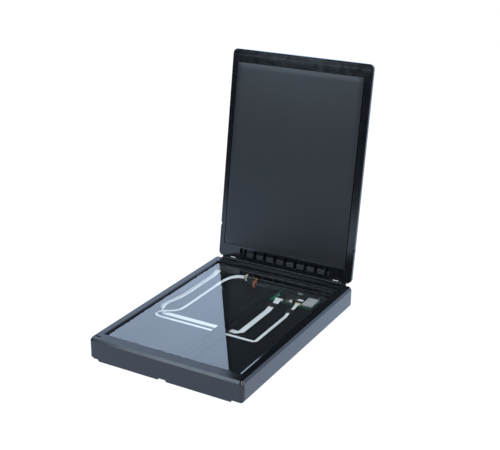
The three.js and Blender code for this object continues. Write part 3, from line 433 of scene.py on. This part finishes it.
# Two-shot gear: an amber wheel with a painted pale highlight along its rim edges, and a black hub and small
# gear.
def gearFinish(look):
    f = newFinish("gearResin")
    place = f.place()
    x = f.axes(place)[0]
    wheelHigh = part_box("drive_gear")[0].x + look["wheelWidth"]
    grain = f.noise(place, look["grainSize"], 2.0)
    hub = x > wheelHigh
    amber = f.mix(f.noise(place, look["cloud"]), look["amber"], shade(look["amber"], 0.7))
    edgeWearAndHighlight = f.edges(look["edge"]) * look["edgeShare"]
    return f.surface({
        # The pale colour on the wheel's edges is a painted highlight.
        "Base Color": f.mix(edgeWearAndHighlight * (1.0 - hub), f.mix(hub, amber, look["hub"]), look["rimHighlightColour"]),
        "Roughness": look["roughness"] + grain * look["grainRough"],
        "Normal": f.bump(grain, look["grainDepth"], 0.4),
    })


finishes["gearResin"] = gearFinish({
    "wheelWidth": 3.05 * mm, "amber": (0.52, 0.13, 0.025), "cloud": 3 * mm, "hub": (0.012, 0.012, 0.014),
    "rimHighlightColour": (0.55, 0.54, 0.50), "edge": 0.3 * mm, "edgeShare": 0.5, "roughness": 0.34,
    "grainSize": 0.4 * mm, "grainDepth": 0.02 * mm, "grainRough": 0.08,
})


# Green board: copper tracks under the lacquer and rings of tin.
def circuitBoard(look):
    f = newFinish("circuitBoard")
    place = f.place()
    x, y = f.axes(place)[:2]
    block = f.cells(place, look["block"], {"distance": "CHEBYCHEV"}).out("Color")
    which = f.node("ShaderNodeSeparateColor", {}, {0: block}).out(0)
    turns = math.tau / look["track"]
    lengthwise = ((x * turns).sine() > look["trackEdge"]) * (which > look["lengthwise"])
    crosswise = ((y * turns).sine() > look["trackEdge"]) * (which < look["lengthwise"])
    tracks = (crosswise + lengthwise) * f.spread(which, 0.0, look["bare"])
    ring = f.cells(place, look["via"]).out(0) < look["viaSize"]
    base = f.mix(tracks * look["trackShare"], look["lacquer"], look["copper"])
    return f.surface({
        "Base Color": f.mix(ring, base, look["tin"]),
        "Metallic": ring * 0.9,
        "Roughness": look["roughness"] + f.noise(place, look["patchSize"]) * look["patchRough"],
        "Normal": f.bump(tracks + ring, look["trackDepth"], 0.8),
    })


finishes["circuitBoard"] = circuitBoard({
    "lacquer": (0.006, 0.105, 0.062), "copper": (0.02, 0.20, 0.11), "tin": (0.50, 0.51, 0.48),
    "track": 0.9 * mm, "trackEdge": 0.35, "trackDepth": 0.05 * mm, "trackShare": 0.8,
    "block": 5 * mm, "lengthwise": 0.4, "bare": 0.3, "via": 3.1 * mm, "viaSize": 0.16,
    "roughness": 0.32, "patchSize": 2 * mm, "patchRough": 0.12,
})


# White film cable with its flat wires showing as faint lines. The first map coordinate runs across it.
def flatCable(look):
    f = newFinish("flatCable")
    across = f.axes(f.node("ShaderNodeUVMap", {"uv_map": "strip"}).out(0))[0]
    lines = f.spread((across * (math.tau * look["wires"])).sine(), -look["wireEdge"], look["wireEdge"])
    margin = (across < look["margin"]) + (across > 1 - look["margin"])
    wires = lines * (1.0 - margin)
    film = f.mix(f.noise(f.place(), look["soilSize"]), look["film"], shade(look["film"], look["soiled"]))
    return f.surface({
        "Base Color": f.mix(wires * 0.5, film, look["wire"]),
        "Roughness": look["roughness"] + wires * look["wireRough"],
        "Normal": f.bump(wires, look["wireDepth"], 0.5),
    })


finishes["flatCable"] = flatCable({
    "film": (0.93, 0.94, 0.95), "soilSize": 12 * mm, "soiled": 0.96, "roughness": 0.32, "margin": 0.06,
    "wire": (0.84, 0.87, 0.91), "wires": 10, "wireEdge": 0.6, "wireRough": 0.06, "wireDepth": 0.04 * mm,
})
print("finishes made:", len(finishes))

# The weld in millimetres, the turn that still counts as flat in degrees, and the weight of the larger faces.
softening = {"weld": 0.002, "flat": 0.6, "weight": 90}


# Rounds the edges that turn by more than so many degrees.
def softened(piece, width, overAngle=30, rounds=2):
    bevel = piece.modifiers.new("softEdges", "BEVEL")
    bevel.width = width * mm
    bevel.segments = rounds
    bevel.limit_method = "ANGLE"
    bevel.angle_limit = math.radians(overAngle)
    return piece


# A solid from the frame: its finish, softened edges and even shading.
def dress(name, finish, edge=0.2, overAngle=38, rounds=2):
    solid = nodes[name]
    solid.data.materials.clear()
    solid.data.materials.append(finishes[finish])
    solid.data.polygons.foreach_set("use_smooth", [True] * len(solid.data.polygons))
    weld = solid.modifiers.new("weld", "WELD")
    weld.merge_threshold = softening["weld"] * mm
    flats = solid.modifiers.new("flats", "DECIMATE")
    flats.decimate_type = "DISSOLVE"
    flats.angle_limit = math.radians(softening["flat"])
    softened(solid, edge, overAngle, rounds)
    evened = solid.modifiers.new("evened", "WEIGHTED_NORMAL")
    evened.weight = softening["weight"]


# The finish of each solid and how far its edges are rounded.
dressed = {
    "upper_housing": ("housing", 0.4, 22, 3), "bottom_tray": ("tray", 0.3),
    "platen_glass": ("plateGlass", 0.25), "glass_tape": ("darkCore", 0.05),
    "calibration_strip": ("whiteStrip", 0.05), "guide_rail": ("tray", 0.2), "drive_rack": ("tray", 0.08),
    "main_board": ("circuitBoard", 0.1), "head_socket": ("whiteNylon", 0.15),
    "motor_socket": ("creamNylon", 0.15), "usb_port": ("tinPlate", 0.12),
    "board_shield": ("shieldTin", 0.25), "main_chip": ("darkCore", 0.15),
    "clock_crystal": ("tinPlate", 0.3), "smoothing_capacitor": ("whiteStrip", 0.2),
    "head_cable_ferrite": ("darkCore", 0.5), "motor_cable_ferrite": ("darkCore", 0.5),
    "head_carrier": ("sensor", 0.2), "sensor_housing": ("sensor", 0.25),
    "sensor_window": ("plateGlass", 0.1), "rod_lens_array": ("darkCore", 0.1),
    "light_guide": ("plateGlass", 0.2), "sensor_board": ("circuitBoard", 0.1),
    "head_cable_plug": ("creamNylon", 0.2),
    "pressure_spring_left": ("steel", 0.05), "pressure_spring_right": ("steel", 0.05),
    "glide_pad_left": ("gearResin", 0.15), "glide_pad_right": ("gearResin", 0.15),
    "drive_motor": ("motorCan", 0.2), "motor_end_plate": ("copperLacquer", 0.1),
    "motor_connector": ("creamNylon", 0.2), "gear_shaft": ("steel", 0.1), "motor_pinion": ("brass", 0.05),
    "drive_gear": ("gearResin", 0.05), "lid_cover": ("lidGloss", 0.4), "lid_frame": ("lidFrame", 0.25),
}
# The same for solids that come in numbers, by how their names start.
dressedAlike = {
    "foot_": ("rubber", 0.3), "case_screw": ("steel", 0.12), "board_screw": ("steel", 0.12),
    "hinge_pin": ("darkSteel", 0.12), "hinge_post": ("lidFrame", 0.2),
}
for name, how in dressed.items():
    dress(name, *how)
for start, how in dressedAlike.items():
    for name in nodes:
        if name.startswith(start):
            dress(name, *how)
print("solids dressed")


# A piece that is made here and not taken from the frame. One given no body is left unattached.
def newPiece(name, mesh, finish, body):
    piece = bpy.data.objects.new(name, mesh)
    bpy.context.scene.collection.objects.link(piece)
    mesh.materials.append(finishes[finish])
    if body:
        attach(piece, body)
    return piece


def closeMesh(name, bm, smooth=False):
    bmesh.ops.recalc_face_normals(bm, faces=bm.faces)
    mesh = bpy.data.meshes.new(name)
    bm.to_mesh(mesh)
    bm.free()
    mesh.polygons.foreach_set("use_smooth", [smooth] * len(mesh.polygons))
    return mesh


# Millimetres from the middle of the body at desk level, as a place in the frame.
def inBody(x, y, z):
    return Vector((bodyMiddle.x + x * mm, bodyMiddle.y + y * mm, deskLevel + z * mm))


# Flat cables, in millimetres. Each stop of a loop is a place in the body and the direction across the strip.
# A laid cable drops from its socket through its ferrite, and folds once where its run to the left starts.
cables = {
    "step": 2.2, "map": 20,
    "laid": {"thickness": 0.24, "floor": 9.7, "apart": 0.05, "before": 1, "over": 0.4, "steps": 12},
    "atSocket": [(112.1, 13.9), (107.5, 13.8)],
    "throughFerrite": [(97.5, 11.6), (85.5, 11.6), (77, 9.8), (72, 9.7)],
    "loop": {"thickness": 0.36, "softened": 0.08, "overAngle": 50},
    "head": {
        "width": 9, "x": 26.2, "run": -11, "end": -100.2, "ferriteShift": 0,
        "stops": [
            ((-100.2, -11, 9.75), (0, 1, 0)), ((-108, -10.8, 9.9), (-0.2, 1, 0)),
            ((-114.2, -7.4, 11.9), (-0.75, 0.7, 0)), ((-116.6, 1, 15.7), (-1, 0, 0)),
            ((-116.8, 14, 15.7), (-1, 0, 0)), ((-116.6, 37.76, 12.3), (-1, 0, 0)),
            ((-116.4, 65.84, 10), (-1, 0, 0)), ((-116.4, 96.08, 10), (-1, 0, 0)),
            ((-115.6, 122, 10.7), (-1, 0, 0)), ((-111.6, 139, 14.1), (-1, 0.1, 0)),
            ((-108.6, 147.2, 19.3), (-1, 0, 0)),
        ],
    },
    "motor": {
        "width": 5, "x": 59.4, "run": -24, "end": -103.6, "ferriteShift": -6,
        "stops": [
            ((-103.6, -24, 9.75), (0, 1, 0)), ((-110.5, -24, 10.1), (0, 1, 0)),
            ((-114.4, -22.4, 12.3), (0.1, 1, 0)), ((-111.5, -18, 14.3), (-0.2, 1, 0)),
            ((-104, -10, 13.7), (-0.6, 0.8, 0)), ((-95.6, 1, 11.7), (-0.9, 0.4, 0)),
            ((-91.6, 16, 10.2), (-1, 0, 0)), ((-91, 50.3, 10), (-1, 0, 0)),
            ((-91, 89.5, 10), (-1, 0, 0)), ((-90.4, 114, 10.5), (-1, 0, 0.1)),
            ((-86, 131, 13.7), (-0.9, 0.4, 0.3)), ((-77, 139.5, 17.7), (-0.4, 0.7, 0.6)),
            ((-66, 142.6, 20.7), (-0.1, 0.6, 0.9)), ((-54.8, 143.6, 21.7), (0, 0.4, 1)),
        ],
    },
}


# A point at a share of one span of a smooth curve through the points.
def curvePoint(points, i, t):
    a, b = points[max(i - 1, 0)], points[i]
    c, d = points[i + 1], points[min(i + 2, len(points) - 1)]
    slope = (c - a) * t
    bend = (2 * a - 5 * b + 4 * c - d) * t * t
    twist = (3 * b - a - 3 * c + d) * t ** 3
    return 0.5 * (2 * b + slope + bend + twist)


# Left and right edge points all along a route.
def bothEdges(stops, width):
    centres = [inBody(*at) for at, _ in stops]
    sides = [Vector(across).normalized() for _, across in stops]
    made = []
    last = len(stops) - 2
    for i in range(last + 1):
        count = max(1, round((centres[i + 1] - centres[i]).length / (cables["step"] * mm)))
        for k in range(count + (i == last)):
            side = curvePoint(sides, i, k / count).normalized() * width * mm / 2
            centre = curvePoint(centres, i, k / count)
            made.append((centre - side, centre + side))
    return made


# Adds a closed strip through the edge points, with a map that runs across and along it.
def addStrip(bm, stations, thickness):
    uv = bm.loops.layers.uv.get("strip") or bm.loops.layers.uv.new("strip")
    middles = [(left + right) / 2 for left, right in stations]
    rows = []
    travelled = [0.0]
    for i, (left, right) in enumerate(stations):
        ahead = middles[min(i + 1, len(middles) - 1)] - middles[max(i - 1, 0)]
        up = ahead.cross(right - left).normalized() * thickness * mm / 2
        rows.append([bm.verts.new(p) for p in (left - up, right - up, right + up, left + up)])
        if i:
            travelled.append(travelled[-1] + (middles[i] - middles[i - 1]).length)

    def face(corners):
        made = bm.faces.new([rows[i][k] for i, k in corners])
        for loop, (i, k) in zip(made.loops, corners):
            loop[uv].uv = ((0.0, 1.0, 1.0, 0.0)[k], travelled[i] / (cables["map"] * mm))

    last = len(rows) - 1
    for i in range(last):
        for k in range(4):
            face([(i, k), (i, (k + 1) % 4), (i + 1, (k + 1) % 4), (i + 1, k)])
    face([(0, k) for k in (3, 2, 1, 0)])
    face([(last, k) for k in range(4)])


# From the socket through the ferrite to the floor, folded once, then along the floor to the left.
def fixedCable(name, spec, node):
    laid = cables["laid"]
    half = spec["width"] / 2
    x, run = spec["x"], spec["run"]
    left = x - half
    upper, lower = laid["floor"] + laid["apart"], laid["floor"] - laid["apart"]
    foldLine = (inBody(left, run - half, upper), inBody(x + half, run + half, upper))

    def acrossRun(at):
        return inBody(at, run - half, lower), inBody(at, run + half, lower)

    places = cables["atSocket"] + [(y + spec["ferriteShift"], z) for y, z in cables["throughFerrite"]]
    places.append((run + half + laid["before"], laid["floor"]))
    bm = bmesh.new()
    drop = bothEdges([((x, y, z), (1, 0, 0)) for y, z in places], spec["width"])
    drop.append(foldLine)
    addStrip(bm, drop, laid["thickness"])
    folded = [foldLine, acrossRun(left - laid["over"])]
    for i in range(1, laid["steps"] + 1):
        folded.append(acrossRun(left + (spec["end"] - left) * i / laid["steps"]))
    addStrip(bm, folded, laid["thickness"])
    piece = newPiece(name, closeMesh(name, bm), "flatCable", "base")
    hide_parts(node)


# The part that rolls with the head in the scanner, made here as one fixed strip on no body.
def loopCable(name, spec, node):
    bm = bmesh.new()
    addStrip(bm, bothEdges(spec["stops"], spec["width"]), cables["loop"]["thickness"])
    piece = newPiece(name, closeMesh(name, bm, True), "flatCable", None)
    softened(piece, cables["loop"]["softened"], cables["loop"]["overAngle"], 1)
    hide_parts(node)
    start, end = spec["stops"][0][0], spec["stops"][-1][0]
    inBody(0, start[1], 0)
    inBody(0, end[1], 0)
    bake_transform(piece)


fixedCable("headCable", cables["head"], "head_cable_fixed")
fixedCable("motorCable", cables["motor"], "motor_cable_fixed")
loopCable("headCableLoop", cables["head"], "head_cable_loop")
loopCable("motorCableLoop", cables["motor"], "motor_cable_loop")
print("cables made")


# What lies on the board, in millimetres from its left front corner and up from its top face.
# A row is where its first chip lies, how many there are and how far apart.
boardParts = {
    # The film is a black sheet of painted shade over the board.
    "film": {
        "x": (1.6, 72.3), "y": (-0.3, 59), "cut": ((10.5, 7), (2.6, 32)),
        "gap": 0.6, "lift": 0.2, "thick": 0.14,
        "windows": [((6.6, 1.6), (22, 7.4)), ((41.8, 1.6), (53, 7.4))],
        "standing": (
            "main_chip", "clock_crystal", "smoothing_capacitor", "board_shield", "usb_port",
            "board_screw_1", "board_screw_2",
        ),
    },
    "chip": {
        "size": (2.2, 1.3, 0.75), "seat": 0.3, "lift": 0.05, "softened": 0.08,
        "end": 0.5, "endLift": 0.01, "lap": 0.02, "proud": 0.04,
        "rows": [
            ((25, 3.5), 4, 3.6), ((24, 9), 3, 3.6), ((54.5, 3.5), 3, 3.4),
            ((37.5, 17), 1, 0), ((22, 28), 4, 3.3),
        ],
    },
    "header": {
        "at": (40.8, 16.8), "size": (8.6, 3.4, 1.9), "seat": 0.3, "ways": 6, "floor": 0.6, "back": 0.5,
        "softened": 0.06,
    },
}
boardLow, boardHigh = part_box("main_board")


def onBoard(x, y, z):
    return Vector((boardLow.x + x * mm, boardLow.y + y * mm, boardHigh.z + z * mm))


def addBox(bm, low, high, slot=0):
    made = bmesh.ops.create_cube(bm, size=1.0)["verts"]
    for vert in made:
        vert.co = Vector([(low[k] + high[k]) / 2 + vert.co[k] * (high[k] - low[k]) for k in range(3)])
    for face in {face for vert in made for face in vert.link_faces}:
        face.material_index = slot


# Black sheet of painted shade over the board, for the shade it lies in, with a window for each part that
# stands through it and a slanted corner.
def boardShadeSheet(spec):
    windows = [(onBoard(*low, 0), onBoard(*high, 0)) for low, high in spec["windows"]]
    gap = Vector((spec["gap"], spec["gap"], 0)) * mm
    windows += [(low - gap, high + gap) for low, high in map(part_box, spec["standing"])]
    low = onBoard(spec["x"][0], spec["y"][0], spec["lift"])
    high = onBoard(spec["x"][1], spec["y"][1], 0)

    def cuts(k):
        corners = [corner[k] for window in windows for corner in window]
        inside = {round(at, 6) for at in corners if low[k] < at < high[k]}
        return sorted(inside | {low[k], high[k]})

    xs, ys = cuts(0), cuts(1)
    bm = bmesh.new()
    grid = [[bm.verts.new((x, y, low.z)) for x in xs] for y in ys]
    for j in range(len(ys) - 1):
        for i in range(len(xs) - 1):
            x, y = (xs[i] + xs[i + 1]) / 2, (ys[j] + ys[j + 1]) / 2
            if not any(a.x < x < b.x and a.y < y < b.y for a, b in windows):
                bm.faces.new((grid[j][i], grid[j][i + 1], grid[j + 1][i + 1], grid[j + 1][i]))
    start, end = (onBoard(*at, spec["lift"]) for at in spec["cut"])
    across = Vector((0, 0, 1)).cross(end - start)
    everything = [*bm.verts, *bm.edges, *bm.faces]
    bmesh.ops.bisect_plane(bm, geom=everything, plane_co=start, plane_no=across, clear_outer=True)
    bmesh.ops.delete(bm, geom=[vert for vert in bm.verts if not vert.link_faces], context="VERTS")
    piece = newPiece("boardShadeSheet", closeMesh("boardShadeSheet", bm), "paintedShadeSheet", "base")
    thick = piece.modifiers.new("thick", "SOLIDIFY")
    thick.thickness = spec["thick"] * mm
    thick.offset = 0


# Rows of chip parts with tinned ends.
def chipParts(spec):
    width, depth, height = spec["size"]
    seat, end, proud = spec["seat"], spec["end"], spec["proud"]
    top = seat + height
    endLong = end + spec["lap"]
    bm = bmesh.new()
    for (x, y), count, pitch in spec["rows"]:
        for i in range(count):
            left = x + i * pitch
            right = left + width
            addBox(bm, onBoard(left + end, y, seat + spec["lift"]), onBoard(right - end, y + depth, top))
            for start in (left, right - endLong):
                low = onBoard(start, y - proud, seat + spec["endLift"])
                addBox(bm, low, onBoard(start + endLong, y + depth + proud, top + proud), 1)
    piece = newPiece("boardChips", closeMesh("boardChips", bm), "chipBody", "base")
    piece.data.materials.append(finishes["tinPlate"])
    softened(piece, spec["softened"])


# White header with a slot for each contact.
def boardHeader(spec):
    x, y = spec["at"]
    width, depth, height = spec["size"]
    floorTop = height * spec["floor"]
    bm = bmesh.new()
    addBox(bm, onBoard(x, y, spec["seat"]), onBoard(x + width, y + depth, floorTop))
    rib = width / (2 * spec["ways"] + 1)
    for i in range(spec["ways"] + 1):
        left = x + 2 * i * rib
        addBox(bm, onBoard(left, y, floorTop), onBoard(left + rib, y + depth, height))
    back = y + depth
    addBox(bm, onBoard(x, back, spec["seat"]), onBoard(x + width, back + spec["back"], height))
    piece = newPiece("boardHeader", closeMesh("boardHeader", bm), "whiteNylon", "base")
    softened(piece, spec["softened"])


boardShadeSheet(boardParts["film"])
chipParts(boardParts["chip"])
boardHeader(boardParts["header"])
print("board parts made")

# The lid's own frame: along from the hinge to the free edge, out of its inner face. The pin lies in it at a
# fixed place, in millimetres.
pinLow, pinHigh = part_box("hinge_pin_left")
pin = (pinLow + pinHigh) / 2
pinInLid = (0.2, 0.44)
lidTilt = math.pi - math.radians(joints["lid_hinge"]["range_deg"][1])


def inLid(x, along, out):
    y, z = (along - pinInLid[0]) * mm, (out - pinInLid[1]) * mm
    c, s = math.cos(lidTilt), math.sin(lidTilt)
    return Vector((bodyMiddle.x + x * mm, pin.y + y * c - z * s, pin.z + y * s + z * c))


# The pad's sheet and the foam behind it, in millimetres.
pads = {
    "sheet": {
        "x": (-111.2, 107.5), "along": (25.6, 325.6), "out": (0.02, 0.88), "round": 0.5, "wave": 0.05,
    },
    "foam": {
        "x": (-108.1, 104.4), "along": (28.7, 322.5), "out": (-1.18, -0.32), "round": 0.35, "wave": 0.0,
    },
    "cells": (24, 32), "rimSteps": (0, 0.12, 0.4),
    "waves": {"across": 23, "along": 31, "shift": 1.3, "fade": 12},
}


# Steps across a sheet, close together over its rolled rim and even between.
def fineSteps(low, high, rim, count):
    inner = [low + rim + (high - low - 2 * rim) * i / count for i in range(count + 1)]
    near = [rim * share for share in pads["rimSteps"]]
    return [low + step for step in near] + inner + [high - step for step in reversed(near)]


# A flat soft sheet with rolled edges and a slight wave, in the lid's frame.
def softSheet(spec):
    rim = spec["round"]
    waves = pads["waves"]
    xs = fineSteps(*spec["x"], rim, pads["cells"][0])
    ys = fineSteps(*spec["along"], rim, pads["cells"][1])
    low, high = spec["out"]
    bm = bmesh.new()

    def fromEdge(x, y):
        return min(x - xs[0], xs[-1] - x, y - ys[0], ys[-1] - y)

    def roll(x, y):
        short = rim - min(fromEdge(x, y), rim)
        return rim - math.sqrt(max(0.0, rim * rim - short * short))

    def wave(x, y):
        share = min(1.0, fromEdge(x, y) / waves["fade"])
        swell = math.sin(x / waves["across"] + waves["shift"]) * math.cos(y / waves["along"]) - 1
        return spec["wave"] * share * swell

    def wall(above, below):
        for i in range(len(above) - 1):
            bm.faces.new((above[i], above[i + 1], below[i + 1], below[i]))

    top = [[bm.verts.new(inLid(x, y, high - roll(x, y) + wave(x, y))) for x in xs] for y in ys]
    under = [[bm.verts.new(inLid(x, y, low)) for x in xs] for y in ys]
    for j in range(len(ys) - 1):
        for i in range(len(xs) - 1):
            bm.faces.new((top[j][i], top[j][i + 1], top[j + 1][i + 1], top[j + 1][i]))
            bm.faces.new((under[j][i], under[j + 1][i], under[j + 1][i + 1], under[j][i + 1]))
    wall(top[0], under[0])
    wall(top[-1][::-1], under[-1][::-1])
    wall([row[0] for row in reversed(top)], [row[0] for row in reversed(under)])
    wall([row[-1] for row in top], [row[-1] for row in under])
    return bm


padMesh = closeMesh("documentPad", softSheet(pads["sheet"]), True)
documentPad = newPiece("documentPad", padMesh, "padSheet", "lid")
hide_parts("document_pad")
foamMesh = closeMesh("padFoam", softSheet(pads["foam"]), True)
padFoam = newPiece("padFoam", foamMesh, "foam", "lid")
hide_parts("pad_foam")
print("pad made")


# Stage, in metres: a white table that runs out in front, and a bright wall behind it and at its sides.
stage = {
    "half": 6, "cells": 8, "below": 0.05 * mm, "cloud": 0.4,
    "floor": (0.86, 0.87, 0.88), "soft": (0.62, 0.65, 0.70), "white": (1.0, 1.0, 1.0), "whiteLevel": 1.12,
    "bright": (1.08, 1.36, 1.82), "dim": (0.07, 0.085, 0.11), "glowShare": 0.82,
    "front": Vector((-0.20, -0.98, 0.0)), "tableEnds": (0.9, 1.7), "tableFront": (-0.3, 0.5),
    "wallEnds": (-0.25, 0.45), "skyEnds": (0.48, 0.62),
}


# 1 on the side that the front direction points to, 0 behind.
def frontness(f, direction, low, high):
    turn = f.node("ShaderNodeVectorMath", {"operation": "DOT_PRODUCT"}, {0: direction, 1: stage["front"]})
    return f.spread(turn.out("Value"), low, high)


def floorFinish():
    f = newFinish("floor")
    place = f.place()
    away = f.node("ShaderNodeVectorMath", {"operation": "LENGTH"}, {0: place}).out("Value")
    ended = f.spread(away, *stage["tableEnds"]) * frontness(f, place, *stage["tableFront"])
    base = f.mix(f.noise(place, stage["cloud"]), stage["floor"], shade(stage["floor"], 1.02))
    matte = f.node("ShaderNodeBsdfDiffuse", {}, {0: base}).out(0)
    path = f.node("ShaderNodeLightPath")
    mirrored = f.mix(ended, stage["bright"], stage["dim"])
    glowColour = f.mix(path.out("Is Camera Ray"), mirrored, brighter(stage["white"], stage["whiteLevel"]))
    glow = f.node("ShaderNodeEmission", {}, {0: glowColour, 1: 1.0}).out(0)
    seen = path.out("Is Camera Ray") + path.out("Is Glossy Ray") + path.out("Is Transmission Ray")
    once = f.node("ShaderNodeMath", {"operation": "MINIMUM"}, {0: seen, 1: 1.0}).out(0)
    share = once * stage["glowShare"]
    f.close(f.node("ShaderNodeMixShader", {}, {0: share, 1: matte, 2: glow}).out(0))
    return f.owner


def makeFloor():
    bm = bmesh.new()
    bmesh.ops.create_grid(bm, x_segments=stage["cells"], y_segments=stage["cells"], size=stage["half"])
    floor = bpy.data.objects.new("floor", closeMesh("floor", bm))
    floor.location = (bodyMiddle.x, bodyMiddle.y, deskLevel - stage["below"])
    floor.data.materials.append(floorFinish())
    bpy.context.scene.collection.objects.link(floor)


# The room as each kind of ray finds it.
def makeRoom():
    world = bpy.data.worlds.new("studio")
    bpy.context.scene.world = world
    sky = Finish(world)
    path = sky.node("ShaderNodeLightPath")
    direction = sky.node("ShaderNodeTexCoord").out("Generated")
    high = sky.spread(sky.axes(direction)[2], *stage["skyEnds"])
    lit = (1.0 - frontness(sky, direction, *stage["wallEnds"])) * (1.0 - high)
    room = sky.mix(lit, stage["dim"], stage["bright"])
    mirrored = sky.mix(path.out("Is Glossy Ray"), stage["soft"], room)
    mirrored = sky.mix(path.out("Is Transmission Ray"), mirrored, room)
    seen = sky.mix(path.out("Is Camera Ray"), mirrored, stage["white"])
    sky.close(sky.node("ShaderNodeBackground", {}, {0: seen, 1: 1.0}).out(0), "ShaderNodeOutputWorld")


# Metres and watts. All lamps are oval and point at the body.
lamps = {
    "keyLamp": {"at": (0.9, -0.9, 1.5), "size": (1.2, 1.2), "power": 30, "colour": (1.0, 0.98, 0.95)},
    "sideLamp": {"at": (1.6, 0.3, 0.7), "size": (0.9, 0.9), "power": 6, "colour": (0.94, 0.97, 1.0)},
    "softBox": {"at": (-0.46, -0.76, 0.63), "size": (0.6, 0.4), "power": 3.6, "colour": (0.70, 0.85, 1.0)},
}
lampAim = Vector((bodyMiddle.x, bodyMiddle.y, 0.1))


def addLamp(name, spec):
    light = bpy.data.lights.new(name, "AREA")
    light.shape = "ELLIPSE"
    light.size = spec["size"][0]
    light.size_y = spec["size"][1]
    light.energy = spec["power"]
    light.color = spec["colour"]
    lamp = bpy.data.objects.new(name, light)
    lamp.location = Vector(spec["at"])
    lamp.rotation_euler = (lampAim - lamp.location).to_track_quat("-Z", "Y").to_euler()
    bpy.context.scene.collection.objects.link(lamp)


# Degrees for the angles, millimetres for lens and sensor, and metres from the middle of the housing's foot.
shot = {
    "azimuth": 29.395, "elevation": 21.065, "roll": 0.483, "lens": 72.18, "sensor": 36,
    "from": (0.68742, -1.15607, 0.68847),
}


def addCamera():
    azimuth, elevation, roll = (math.radians(shot[key]) for key in ("azimuth", "elevation", "roll"))
    level = math.cos(elevation)
    backward = Vector((math.sin(azimuth) * level, -math.cos(azimuth) * level, math.sin(elevation)))
    right = Vector((math.cos(azimuth), math.sin(azimuth), 0))
    upward = backward.cross(right)
    rightRolled = right * math.cos(roll) + upward * math.sin(roll)
    upRolled = upward * math.cos(roll) - right * math.sin(roll)
    lens = bpy.data.cameras.new("camera")
    lens.lens = shot["lens"]
    lens.sensor_width = shot["sensor"]
    camera = bpy.data.objects.new("camera", lens)
    camera.matrix_world = Matrix((rightRolled, upRolled, backward)).transposed().to_4x4()
    camera.location = Vector((bodyMiddle.x, bodyMiddle.y, housingLow.z)) + Vector(shot["from"])
    bpy.context.scene.collection.objects.link(camera)
    bpy.context.scene.camera = camera


makeFloor()
makeRoom()
for name, spec in lamps.items():
    addLamp(name, spec)
addCamera()
bpy.context.scene.view_settings.view_transform = "Standard"
print("stage set")

bpy.context.view_layer.update()
